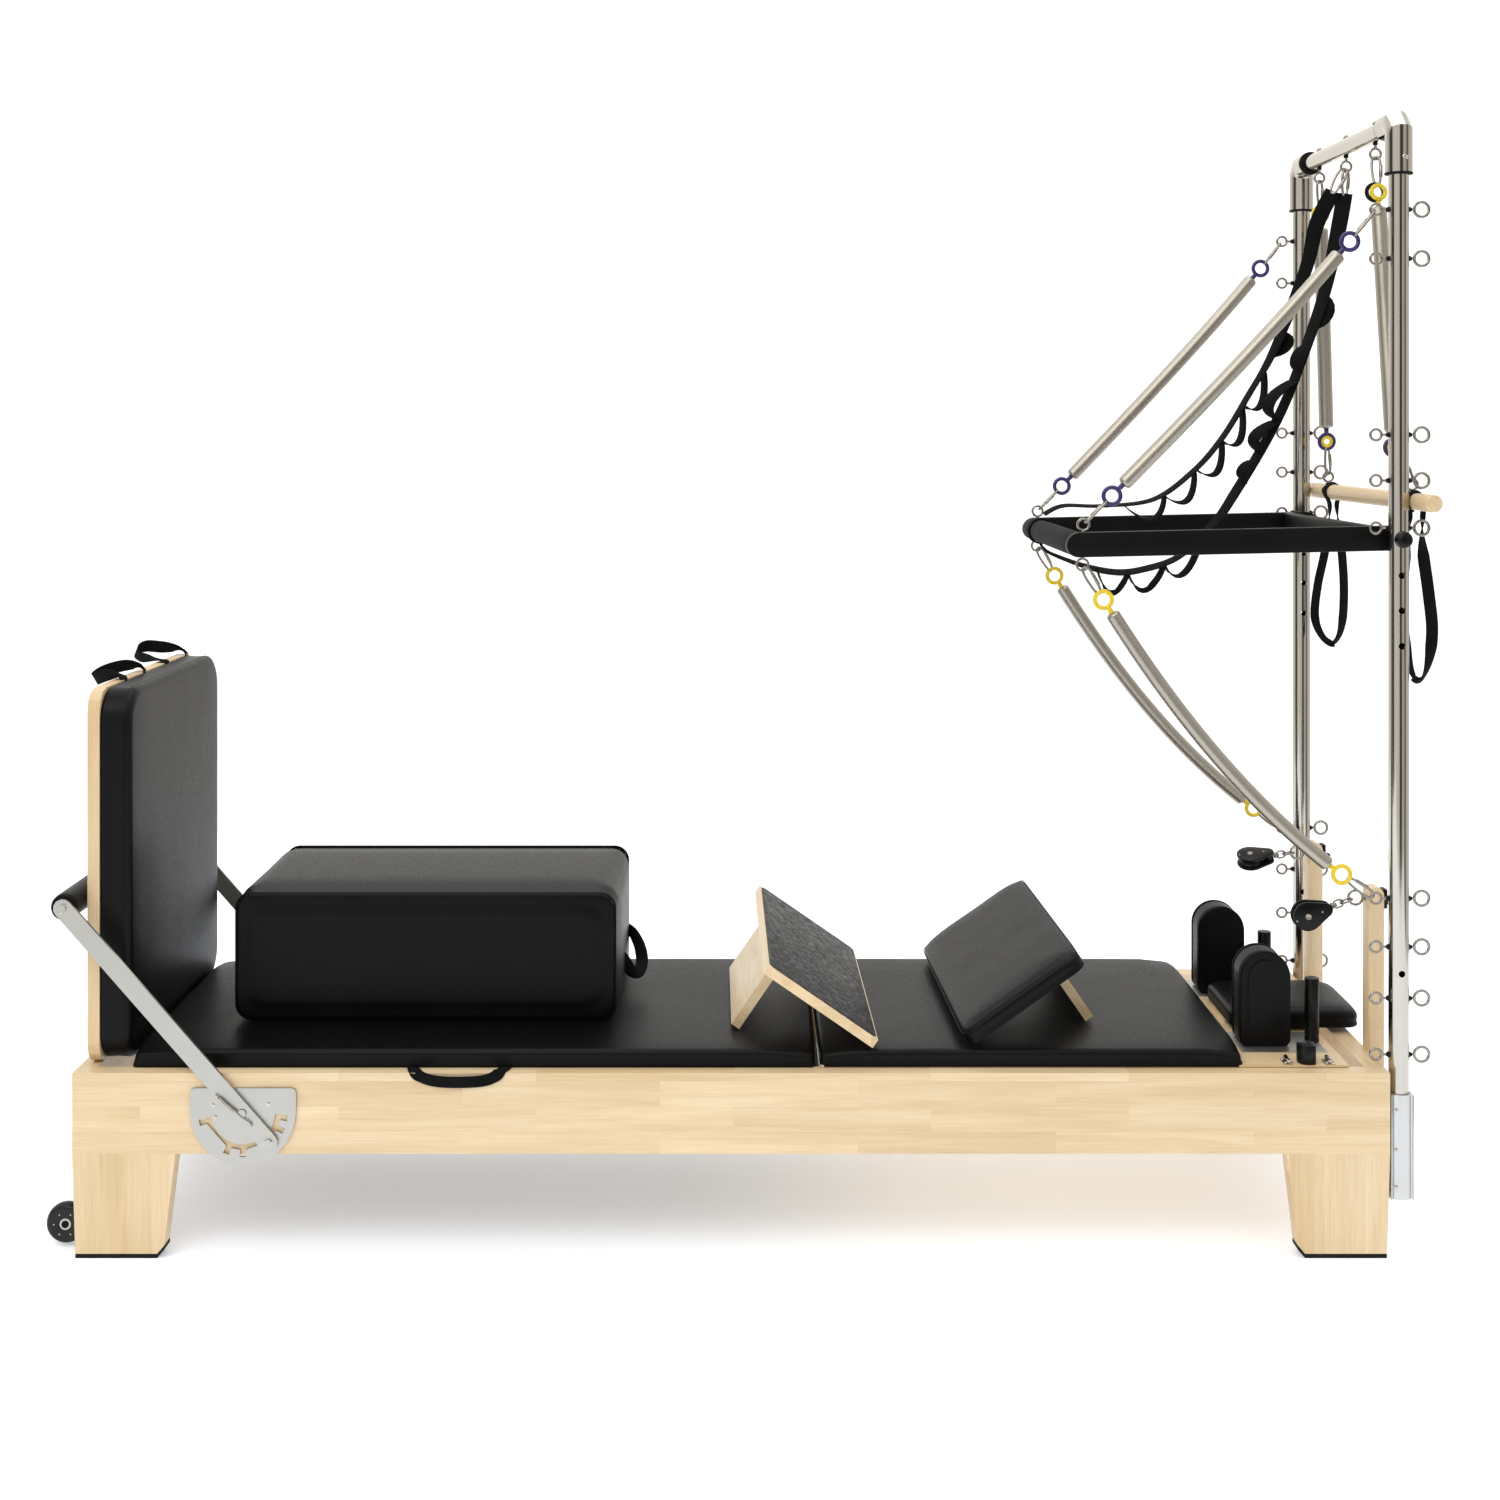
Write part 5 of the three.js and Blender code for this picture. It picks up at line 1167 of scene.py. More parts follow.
def upright_tube(side, sign):
    y, r = sign * UPRIGHT_Y, UPRIGHT_RADIUS
    tall = UPRIGHT_TOP - UPRIGHT_BOTTOM
    wall = [(0, r - UPRIGHT_WALL), (0, r - 0.4), (0.4, r)] + [(tall * i / 12, r) for i in range(1, 12)]
    wall += [(tall - 0.4, r), (tall, r - 0.4), (tall, r - UPRIGHT_WALL)]
    tube = Shape().tube(Vector((UPRIGHT_X, y, UPRIGHT_BOTTOM)), Z, wall, 48)
    drilled(tube, f"upright_tube_{side}", "frame", "chrome", (f"upright_{side}",),
            [(UPRIGHT_X, y, z) for z in HOLES], HOLE_RADIUS, 40)


def upright_eyes(side, sign):
    """Small eyebolts towards the foot end, large ones on the other face, each with its nut."""
    eyes, nuts = Shape(), Shape()
    y, r = sign * UPRIGHT_Y, UPRIGHT_RADIUS
    for z in EYES:
        for way, size in ((-1, SMALL_EYE), (1, LARGE_EYE)):
            eyes.eyebolt(Vector((UPRIGHT_X + way * EYE_REACH, y, z)),
                         Vector((UPRIGHT_X + way * (r - 1), y, z)), size, 2.4)
            face = UPRIGHT_X + way * (r - 0.8)
            nuts.rod(Vector((face, y, z)), Vector((face + way * 3.6, y, z)), 5.6, 6, 0.6)
            nuts.rod(Vector((face + way * 4, y, z)), Vector((face + way * 6.5, y, z)), 3.6, 12, 0.5)
    eyes.piece(f"eyebolts_{side}", "frame", "chrome", material=NICKEL)
    nuts.piece(f"eyebolt_nuts_{side}", "frame", "black_plastic")


ELBOW_REACH, ELBOW_DROP, ELBOW_CUT = 65, 92, 16
# Place towards the tower end and distance below the crossbar
ELBOW_SCREWS = ((2, 64), (8, 66))


def elbow(side, sign):
    """A sleeve down the upright and one along the crossbar, joined by a mitred bend."""
    reach, drop, cut, radius = ELBOW_REACH, ELBOW_DROP, ELBOW_CUT, ELBOW_RADIUS
    mitre = 22.5
    stations = [(0, -drop, 0, radius - 0.8), (0, 0.8 - drop, 0, radius), (0, -cut - 6, 0, radius),
                (0, -cut, mitre, radius), (cut, 0, 90 - mitre, radius), (cut + 6, 0, 90, radius),
                (reach - 0.8, 0, 90, radius), (reach, 0, 90, radius - 0.8)]
    rings = []
    for along, up, lean, size in stations:
        mitred = 0 < lean < 90
        stretch = size / (math.cos(math.radians(mitre)) if mitred else 1)
        turn = math.radians(lean)
        rings.append([Vector((UPRIGHT_X + size * math.cos(a),
                              -UPRIGHT_Y + along + stretch * math.sin(a) * math.cos(turn),
                              CROSSBAR_Z + up - stretch * math.sin(a) * math.sin(turn))) for a in turns(48)])
    bend = Shape().rings(rings)
    bend.on_side(sign).piece(f"elbow_bend_{side}", "frame", "chrome", (f"elbow_{side}",), sharp=25)
    seals = Shape()
    r = UPRIGHT_RADIUS + 0.05
    seals.tube(Vector((UPRIGHT_X, -UPRIGHT_Y, CROSSBAR_Z - drop - 3)), Z,
               [(0, r), (0, radius + 0.2), (0.6, radius + 1.0), (2.6, radius + 1.0),
                (3.2, radius + 0.2), (3.2, r)], 40)
    mouth = 2.4 if sign < 0 else 6
    inner = CROSSBAR_RADIUS + 0.05
    seals.tube(Vector((UPRIGHT_X, -UPRIGHT_Y + reach, CROSSBAR_Z)), Y,
               [(-0.4, inner), (-0.4, radius - 0.4), (0.6, radius), (mouth - 0.6, radius - 0.4),
                (mouth, inner + 2), (mouth, inner)], 40)
    seals.on_side(sign).piece(f"elbow_seals_{side}", "frame", "rubber")
    screws = Shape()
    for x, drop_by in ELBOW_SCREWS:
        surface = math.sqrt(radius ** 2 - x ** 2)
        spot = Vector((UPRIGHT_X + x, -UPRIGHT_Y - surface + 0.6, CROSSBAR_Z - drop_by))
        screws.lathe(spot, -Y, ELBOW_SCREW, 18)
    screws.on_side(sign).piece(f"elbow_screw_{side}", "frame", "chrome")


SOCKET_HALF, SOCKET_CORNER = 22.2, 17
RIVET_HEIGHTS = (128, 196, 268)


def socket(side, sign):
    """A square extruded sleeve with ribs at its corners and rivets."""
    low, high = node_box(f"socket_{side}")
    half, bore = SOCKET_HALF, UPRIGHT_RADIUS + 0.4
    sleeve = Shape()
    rings = []
    round_by = SOCKET_CORNER
    for z, size, corner in ((low.z, half - 1, round_by), (low.z + 0.8, half, round_by),
                            (high.z - 0.8, half, round_by), (high.z, half - 0.6, round_by),
                            (high.z, bore, bore), (low.z + 6, bore, bore)):
        rings.append([Vector((UPRIGHT_X + px, sign * UPRIGHT_Y + py, z))
                      for px, py in rounded_rectangle(size * 2, size * 2, corner, 8, 2)])
    sleeve.rings(rings)
    for way in (-1, 1):
        for out in (-1, 1):
            x, y = UPRIGHT_X + way * (half - 2.4), sign * UPRIGHT_Y + out * (half - 2.0)
            sleeve.box(Vector((x - 1.2, y - 2.2, low.z)), Vector((x + 1.2, y + 2.2, high.z)), 0.5)
    sleeve.piece(f"socket_body_{side}", "frame", "aluminium", (f"socket_{side}",), sharp=30)
    rivets = Shape()
    for z in RIVET_HEIGHTS:
        rivets.lathe(Vector((UPRIGHT_X + half - 0.6, sign * (UPRIGHT_Y + 6), z)), X, END_RIVET, 16)
        rivets.lathe(Vector((UPRIGHT_X - half * 0.55, sign * (UPRIGHT_Y + half - 0.8), z)), Y * sign,
                     SIDE_RIVET, 16)
    rivets.piece(f"socket_rivets_{side}", "frame", "chrome")


for side, sign in SIDES:
    upright_tube(side, sign)
    upright_eyes(side, sign)
    elbow(side, sign)
    socket(side, sign)

# Crossbar, its three eyes and dome nuts
half_bar = node_box("crossbar")[1].y
wall = [(-half_bar, CROSSBAR_RADIUS - 2), (-half_bar, CROSSBAR_RADIUS)]
wall += [(half_bar * share, CROSSBAR_RADIUS) for share in (-0.6, -0.2, 0.2, 0.6)]
wall += [(half_bar, CROSSBAR_RADIUS), (half_bar, CROSSBAR_RADIUS - 2)]
Shape().tube(Vector((UPRIGHT_X, 0, CROSSBAR_Z)), Y, wall, 48).piece(
    "crossbar_tube", "frame", "chrome", ("crossbar",))
eyes, nuts = Shape(), Shape()
for y in (-CROSSBAR_EYE_Y, 0, CROSSBAR_EYE_Y):
    eye = Vector((UPRIGHT_X, y, CROSSBAR_EYE_Z))
    eyes.eyebolt(eye, eye + Z * 24, SMALL_EYE, 2.8)
    nuts.rod(eye + Z * 17, eye + Z * 22.4, 5, 6, 0.6)
    top = Vector((UPRIGHT_X, y, CROSSBAR_Z + CROSSBAR_RADIUS - 1))
    eyes.lathe(top, Z, DOME_NUT, 18)
eyes.piece("crossbar_eyes", "frame", "chrome", material=NICKEL)
nuts.piece("crossbar_eye_nuts", "frame", "black_plastic")


# Risers and pulleys
def riser_wood():
    low, high = node_box("riser_near")
    face = FRAME_LENGTH + 0.3
    tall, half = high.z - low.z, RISER_THICKNESS / 2
    shares = (0.27, 0.54, 0.81)
    outline = [(0, 0), (RISER_THICKNESS, 0)] + [(RISER_THICKNESS, tall * share) for share in shares]
    outline += arc(half, tall - half, half, 0, 180, 14)
    outline += [(0, tall * share) for share in reversed(shares)]

    def place(x, y, z):
        return Vector((face + x, -RISER_Y + RISER_WIDTH / 2 - z, low.z + y))
    return Shape().plate(outline, place, RISER_WIDTH, 2.2)


PULLEY_TILT = {"near": math.radians(20), "far": math.radians(8)}
PULLEY_ROLL = {"near": 0.0, "far": math.radians(-72)}
CHEEK_THICKNESS = 6.5
CHEEK_OFFSET = 6.5
SWIVEL_COLLARS = (40, 45, 50)
CHEEK_RIVETS = (121, 70)
NECK_PLACE = 62
SHEAVE_PLACE = 98.5
SHEAVE = [(0, 22), (1, 24), (3, 21), (6, 19), (9, 21), (11, 24), (12, 22)]
PULLEY_AXLE = [(0, 5.8), (1, 5.8), (1.7, 5.0), (1.2, 4.4), (1.0, 2.6), (1.0, 0.4)]


def link_points(start, end, half, along, side):
    """A long closed link from start to end along a line."""
    steps = 10
    points = []
    for centre, first in ((start + along * half, 90), (end - along * half, -90)):
        for i in range(steps + 1):
            a = math.radians(first + 180 * i / steps)
            points.append(centre + along * math.cos(a) * half + side * math.sin(a) * half)
    return points


def pulley(name):
    """The block, its sheave and the swivel that hangs it, in the near side's frame."""
    tilt, roll = PULLEY_TILT[name], PULLEY_ROLL[name]
    c, s = math.cos(tilt), math.sin(tilt)

    def point(along, up, y=0.0):
        up, y = up * math.cos(roll) - y * math.sin(roll), up * math.sin(roll) + y * math.cos(roll)
        return RISER_EYE + Vector((-along * c - up * s, y, -along * s + up * c))

    way = (point(1, 0) - point(0, 0)).normalized()
    across = (point(0, 0, 1) - point(0, 0)).normalized()
    cheeks, steel = Shape(), Shape()
    upright = way.cross(Y)
    steel.wire(link_points(point(6.8, 0), point(30, 0), 8, way, Y), 2.2, 8, upright, True)
    steel.wire(link_points(point(25, 0), point(44, 0), 7, way, upright), 2.0, 8, Y, True)
    for along in SWIVEL_COLLARS:
        steel.rod(point(along, 0), point(along + 3.6, 0), 6.4, 20, 1)
    steel.rod(point(38, 0), point(58, 0), 3.6, 20, 0.6)
    outline = arc(NECK_PLACE, 0, 13, 115, 245, 8) + arc(SHEAVE_PLACE, 0, 27.5, -108, 108, 26)
    for offset in (-CHEEK_OFFSET - CHEEK_THICKNESS, CHEEK_OFFSET):
        cheeks.plate(outline, lambda x, y, z, o=offset: point(x, y, o + z), CHEEK_THICKNESS, 2.4)
    cheeks.rod(point(NECK_PLACE, 0, -9), point(NECK_PLACE, 0, 9), 9, 24, 0.5)
    cheeks.lathe(point(SHEAVE_PLACE, 0, -6), across, SHEAVE, 40)
    out = CHEEK_OFFSET + CHEEK_THICKNESS - 0.4
    for direction in (-1, 1):
        steel.lathe(point(SHEAVE_PLACE, 0, direction * out), across * direction, PULLEY_AXLE, 24)
        for along in CHEEK_RIVETS:
            steel.lathe(point(along, 0, direction * out), across * direction, PULLEY_RIVET, 14)
    return cheeks, steel


for side, sign in SIDES:
    riser_wood().on_side(sign).piece(f"riser_post_{side}", "frame", "maple", (f"riser_{side}",),
                                     material=WOOD_Z)
    eye = Shape().eyebolt(RISER_EYE, RISER_EYE + X * 24, RISER_EYE_SIZE, 3, bite=1.0)
    eye.rod(RISER_EYE + X * 16, RISER_EYE + X * 19.2, 5.4, 16, 0.6)
    eye.on_side(sign).piece(f"riser_eye_{side}", "frame", "chrome", material=NICKEL)
    cheeks, steel = pulley(side)
    body = f"pulley_{side}"
    cheeks.on_side(sign).piece(f"pulley_cheeks_{side}", body, "black_plastic", (f"pulley_{side}",))
    steel.on_side(sign).piece(f"pulley_swivel_{side}", body, "chrome", material=NICKEL)
    cleat = Shape()
    back = FRAME_LENGTH + 0.3 + RISER_THICKNESS - 0.3
    cleat.box(Vector((back, -RISER_Y - 12, 603)), Vector((back + 9, -RISER_Y + 12, 640)), 2.4)
    cleat.box(Vector((back + 8, -RISER_Y - 8, 610)), Vector((back + 20, -RISER_Y + 8, 620)), 2.4)
    cleat.on_side(sign).piece(f"riser_cleat_{side}", "frame", "black_plastic")


# Push-through bar
def push_point(along, up, y):
    """A point in the push bar's own frame, which runs from its pivot towards the foot end."""
    c, s = math.cos(PUSH_DROOP), math.sin(PUSH_DROOP)
    return Vector((UPRIGHT_X - along * c + up * s, y, PUSH_PIVOT_Z - along * s + up * c))


PUSH_KNOB = [(0, 12), (1, 15), (4, 15.5), (6, 14.5), (14, 14.5), (17, 13), (19, 9), (20, 4)]
PUSH_GRIP_RADIUS = 23
half_arm = PUSH_ARM_THICKNESS / 2
arm_round = arc(0, 0, PUSH_ARM_HALF_HEIGHT, -90, 90, 16)
arm_outline = [(-x, y) for x, y in arm_round] + [(PUSH_REACH + x, y) for x, y in arm_round[::-1]]
for side, sign in SIDES:
    arm = Shape().plate(arm_outline, lambda x, y, z: push_point(x, y, -PUSH_ARM_Y - half_arm + z),
                        PUSH_ARM_THICKNESS, 2)
    arm.on_side(sign).piece(f"push_arm_{side}", "push_bar", "black_metal", (f"push_bar_arm_{side}",))
    outer = -(UPRIGHT_Y + UPRIGHT_RADIUS + 1.5)
    knob = Shape().lathe(push_point(0, 0, outer), -Y, PUSH_KNOB, 28)
    knob.on_side(sign).piece(f"push_knob_{side}", "push_bar", "black_plastic")
    eyes = Shape()
    eyes.rod(push_point(0, 0, -PUSH_ARM_Y - half_arm + 1), push_point(0, 0, outer - 1), 5.4, 20, 0.4)
    for way in (-1, 1):
        eye = push_point(PUSH_EYE_PLACE, way * PUSH_EYE_REACH, -PUSH_ARM_Y)
        foot = push_point(PUSH_EYE_PLACE, way * (PUSH_ARM_HALF_HEIGHT - 1), -PUSH_ARM_Y)
        along = (eye - foot).normalized()
        eyes.ring(eye, Y, SMALL_EYE[0] + 0.6, 2.4)
        eyes.rod(foot - along * 1, eye - along * SMALL_EYE[0], 3.4, 16, 0.6)
    eyes.on_side(sign).piece(f"push_bar_eyes_{side}", "push_bar", "chrome", material=NICKEL)
inner = PUSH_ARM_Y - half_arm - 0.3
ends = [(0, PUSH_GRIP_RADIUS - 3), (0.8, PUSH_GRIP_RADIUS - 0.6), (3, PUSH_GRIP_RADIUS)]
grip_profile = ends + [(2 * inner * i / 8, PUSH_GRIP_RADIUS) for i in range(1, 8)]
grip_profile += [(2 * inner - along, radius) for along, radius in reversed(ends)]
grip = Shape().lathe(push_point(PUSH_REACH, 0, -inner), Y, grip_profile, 40)
grip.piece("push_grip", "push_bar", "grip_foam", ("push_bar_grip",))
BRACE_PLACE = 40
brace = Shape().plate(rounded_rectangle(PUSH_ARM_THICKNESS, 2 * PUSH_ARM_HALF_HEIGHT, 3, 4),
                      lambda x, y, z: push_point(BRACE_PLACE + x, y, -inner + z), 2 * inner, 0.6)
brace.piece("push_brace", "push_bar", "black_metal", ("push_bar_brace",))

# Roll-down bar: dowel, eyes with their nuts, and hand loops
whole = 2 * DOWEL_HALF_LENGTH
ends = [(0, 13.4), (0.5, 14.8), (1.8, 15.8), (4, DOWEL_RADIUS)]
profile = ends + [(whole * i / 8, DOWEL_RADIUS) for i in range(1, 8)]
profile += [(whole - along, radius) for along, radius in reversed(ends)]
dowel = Shape().lathe(Vector((ROLL_X, -DOWEL_HALF_LENGTH, ROLL_Z)), Y, profile, 48)
dowel.piece("roll_dowel", "roll_down", "maple", ("roll_down_bar",), material=WOOD_DOWEL)
nuts, eyes = Shape(), Shape()
for y in ROLL_EYE_Y.values():
    centre = Vector((ROLL_X, y, ROLL_Z))
    eye = centre + Z * ROLL_EYE_LIFT
    eyes.eyebolt(eye, centre + Z * 15, SMALL_EYE, 2.6)
    nuts.rod(centre + Z * (DOWEL_RADIUS - 0.4), centre + Z * (DOWEL_RADIUS + 2.4), 6, 16, 0.8)
    nuts.rod(centre - Z * (DOWEL_RADIUS - 0.4), centre - Z * (DOWEL_RADIUS + 4.5), 4.6, 6, 0.8)
nuts.piece("roll_eye_nuts", "roll_down", "black_plastic")
eyes.piece("roll_eyes", "roll_down", "chrome", material=NICKEL)
HAND_LOOPS = {
    "near": (-292, 75, [(2459, 1396), (2477, 1380), (2473, 1352), (2472, 1295), (2483, 1211), (2490, 1138),
                        (2482, 1075), (2466, 1046), (2449, 1073), (2436, 1140), (2434, 1210), (2442, 1295),
                        (2449, 1352), (2440, 1380)]),
    "far": (198, 58, [(2459, 1396), (2477, 1380), (2467, 1350), (2472, 1300), (2478, 1245), (2482, 1180),
                      (2480, 1116), (2472, 1076), (2456, 1059), (2435, 1076), (2421, 1116), (2427, 1180),
                      (2441, 1245), (2449, 1300), (2452, 1350), (2440, 1380)]),
}
BRANCH_TOP, BRANCH_LOW = 1345, 1110
for side, (y, branch_turn, route) in HAND_LOOPS.items():
    points, across = [], []
    route = [Vector((x, y, z)) for x, z in route]
    line = smooth_line(route + route[:1], 8)[:-1]
    for i, point in enumerate(line):
        tangent = (line[(i + 1) % len(line)] - line[i - 1]).normalized()
        turn = 0.0
        if point.z < BRANCH_TOP:
            turn = branch_turn * min(1.0, (BRANCH_TOP - point.z) / 70)
        if point.z < BRANCH_LOW:
            turn = branch_turn - (branch_turn - 30) * min(1.0, (BRANCH_LOW - point.z) / 55)
        turn = math.radians(turn)
        flip = 1 if point.x > line[0].x else -1
        across.append(Y * math.cos(turn) + tangent.cross(Y) * math.sin(turn) * flip)
    Shape().sweep(line, band_section(WEB_WIDTH, WEB_THICKNESS), across, loops=True).piece(
        f"hand_loop_{side}", "roll_down", "webbing", sharp=50)


# Springs: tight coils with colour rings and snap hooks at both ends
RING_PLACE = 75
RING_RADIUS, RING_WIRE = 15.6, 4.0
COIL_PLACE = 104
COIL_PITCH, COIL_GROOVE = 2.6, 0.1
COIL_ROUND = 7
LINE_STEPS = 400
HOOK_START = 5.8
HOOK_WIRE = 2.5
# A list of rings at a spring's end: material, how much smaller, and its shift across and back
YELLOW_RING = [("ring_yellow", 0, 0, 0)]
PURPLE_RING = [("ring_purple", 0, 0, 0)]


def bowed_line(start, control, end):
    return [start * (1 - t) ** 2 + control * 2 * t * (1 - t) + end * t * t
            for t in (i / LINE_STEPS for i in range(LINE_STEPS + 1))]


def coil_shape(at, length, radius):
    """Turn beside turn of wire: a winding groove along a tube with round shoulders."""
    first, last = COIL_PLACE, length - COIL_PLACE
    sides, rows_each = 20, 5
    rows = round((last - first) / COIL_PITCH) * rows_each
    rings = []
    for i in range(rows + 1):
        distance = first + (last - first) * i / rows
        here = at(distance)
        tangent = (at(distance + 1) - at(distance - 1)).normalized()
        out = tangent.cross(Y).normalized()
        side = tangent.cross(out)
        depth = max(0.0, COIL_ROUND - min(distance - first, last - distance))
        shoulder = radius - COIL_ROUND + math.sqrt(COIL_ROUND ** 2 - depth ** 2)
        ring = []
        for angle in turns(sides):
            groove = COIL_GROOVE * (1 - math.cos(2 * math.pi * i / rows_each - angle)) / 2
            ring.append(here + (out * math.cos(angle) + side * math.sin(angle)) * (shoulder - groove))
        rings.append(ring)
    return Shape().rings(rings)


def snap_hook(start, end, side, wide, narrow):
    """A pear-shaped wire hook, wide at its start, with a thicker gate along one side."""
    along = (end - start).normalized()
    side = (side - along * side.dot(along)).normalized()
    span = (end - start).length
    points = []
    for a in turns(40):
        t = (1 - math.cos(a)) / 2
        half = wide + (narrow - wide) * t
        swing = math.copysign(abs(math.sin(a)) ** 0.6, math.sin(a))
        points.append(start + along * span * t + side * half * swing)
    hook = Shape().wire(points, HOOK_WIRE, 10, along.cross(side), loops=True)
    gate = [start + along * span * t + side * (wide + (narrow - wide) * t) for t in (0.3, 0.74)]
    return hook.rod(gate[0], gate[1], HOOK_WIRE * 1.4, 14, 0.8)


def spring(name, node, line, radius, ends, sign=-1):
    """A coil along a line from the frame to what moves, with a ring and a hook at each end."""
    points, length = evenly(line, LINE_STEPS)

    def at(distance):
        place = max(0.0, min(LINE_STEPS - 0.001, distance / length * LINE_STEPS))
        return points[int(place)].lerp(points[int(place) + 1], place - int(place))

    def made(shape, piece_name, slot, replaces=(), material=None):
        thing = shape.on_side(sign).piece(piece_name, None, slot, replaces, sharp=50, material=material)
        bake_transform(thing)

    made(coil_shape(at, length, radius), name + "_coil", "spring_steel", (node,))
    hooks = Shape()
    for label, flip, (side, wide, narrow, rings) in (("fixed", False, ends[0]), ("moving", True, ends[1])):
        def from_end(distance):
            return at(length - distance if flip else distance)

        centre = from_end(RING_PLACE)
        inward = (from_end(RING_PLACE + 20) - centre).normalized()
        axis = inward.cross(inward.cross(Y)).normalized()
        hooks.join(snap_hook(from_end(HOOK_START), from_end(RING_PLACE - RING_RADIUS + 2.4),
                             side, wide, narrow))
        for i, (slot, smaller, across, back) in enumerate(rings):
            middle = centre + Vector((across, back, 0))
            ring = Shape().ring(middle, axis, RING_RADIUS - smaller, RING_WIRE, 36, 12)
            if i == 0:
                coil_gap = COIL_PLACE - RING_PLACE - RING_RADIUS
                plug = [(0, 2.6), (3, 4.4), (coil_gap + 2, 5.2), (coil_gap + 6, 2)]
                ring.lathe(centre + inward * (RING_RADIUS - 1), inward, plug, 20)
            made(ring, f"{name}_ring_{label}_{i}" if i else f"{name}_ring_{label}", slot)
    made(hooks, name + "_hooks", "chrome", material=NICKEL)


def swung(degrees):
    """A level direction turned away from X."""
    return Vector((math.cos(math.radians(degrees)), math.sin(math.radians(degrees)), 0))


ARM_SPRING_RADIUS, LEG_SPRING_RADIUS, HANGING_SPRING_RADIUS = 13.7, 13.5, 14.6
LOW_RINGS = [("ring_purple", 0, 0, 0), ("ring_yellow", 6, 0, 0)]
HANGING_RINGS = {
    "near": ([("ring_yellow", 2.6, 0, -4), ("rubber", -0.4, -4, 3)], LOW_RINGS),
    "far": (YELLOW_RING, LOW_RINGS),
}
push_top = push_point(PUSH_EYE_PLACE, PUSH_EYE_REACH, -PUSH_ARM_Y)
push_low = push_point(PUSH_EYE_PLACE, -PUSH_EYE_REACH, -PUSH_ARM_Y)
ARM_SPRING_EYE, LEG_SPRING_EYE = EYES[0], EYES[5]
arm_high = Vector((UPRIGHT_X - EYE_REACH, -UPRIGHT_Y, ARM_SPRING_EYE))
leg_low = Vector((UPRIGHT_X - EYE_REACH, -UPRIGHT_Y, LEG_SPRING_EYE))
arm_line = bowed_line(arm_high, arm_high.lerp(push_top, 0.3) + Vector((15, 0, -13)), push_top)
leg_sag = Vector((push_low.x + 246, (push_low.y + leg_low.y) / 2, push_low.z - 425))
leg_line = bowed_line(leg_low, leg_sag, push_low)
for side, sign in SIDES:
    end = (Y, 7.4, 6.4, PURPLE_RING)
    spring(f"arm_{side}", f"arm_spring_{side}", arm_line, ARM_SPRING_RADIUS, (end, end), sign)
    end = (X, 8.4, 6, YELLOW_RING)
    spring(f"leg_{side}", f"leg_spring_{side}", leg_line, LEG_SPRING_RADIUS, (end, end), sign)
    top = Vector((UPRIGHT_X, sign * CROSSBAR_EYE_Y, CROSSBAR_EYE_Z))
    low = Vector((ROLL_X, ROLL_EYE_Y[side], ROLL_Z + ROLL_EYE_LIFT))
    high_rings, low_rings = HANGING_RINGS[side]
    turn_by = -35 if side == "near" else 35
    spring(f"hanging_{side}", f"hanging_spring_{side}",
           [top, low + HANGING_LEAN[side].normalized() * RING_PLACE, low], HANGING_SPRING_RADIUS,
           ((swung(turn_by), 9.6, 6.6, high_rings), (swung(turn_by), 9.6, 6.6, low_rings)))


# Multi-loop straps: a main web with smaller webs sewn on as open loops
STRAP_WIDTH = 31
STRAP_STEPS = 160
UPPER_ROUTE = [(2398, 0, 1983), (2370, 16, 1918), (2354, 36, 1830), (2303, 80, 1671), (2257, 100, 1580),
               (2207, 120, 1490), (2152, 140, 1421), (2074, 160, 1362), (1970, 172, 1348), (1890, 180, 1348),
               (1850, 182, 1330)]
LOWER_ROUTE = [(2421, 0, 1978), (2405, -16, 1912), (2376, -28, 1792), (2340, -38, 1690), (2292, -50, 1570),
               (2245, -65, 1483), (2184, -80, 1388), (2141, -88, 1328), (2071, -92, 1262), (2011, -40, 1232),
               (1965, 22, 1222), (1915, 110, 1230), (1862, 172, 1250), (1842, 182, 1268)]
LOOP_HANG = Vector((15, 0, -33))
UPPER_TILT = [(0, -78), (0.06, -66), (0.14, -42), (0.28, -26), (0.42, -8), (1, -8)]
LOWER_TILT = [(0, -72), (0.06, -60), (0.14, -34), (0.3, -22), (0.55, -22), (0.68, -8), (1, -8)]
UPPER_LOOPS = [(0.31, 0.365, Vector((17, -4, 3)), -50)] + [
    (start, start + 0.082, LOOP_HANG, -12) for start in (0.40, 0.485, 0.57, 0.655, 0.74)]
LOWER_LOOPS = [(0.19, 0.23, Vector((12, -9, 0)), -50), (0.27, 0.31, Vector((-10, -10, 0)), -50),
               (0.33, 0.40, Vector((-34, -10, -4)), -35), (0.405, 0.465, Vector((-26, -8, 0)), -35),
               (0.48, 0.52, Vector((-10, -10, 0)), -50)] + [
    (start, start + 0.07, Vector((0, 0, -37)), -10) for start in (0.64, 0.715, 0.79)]


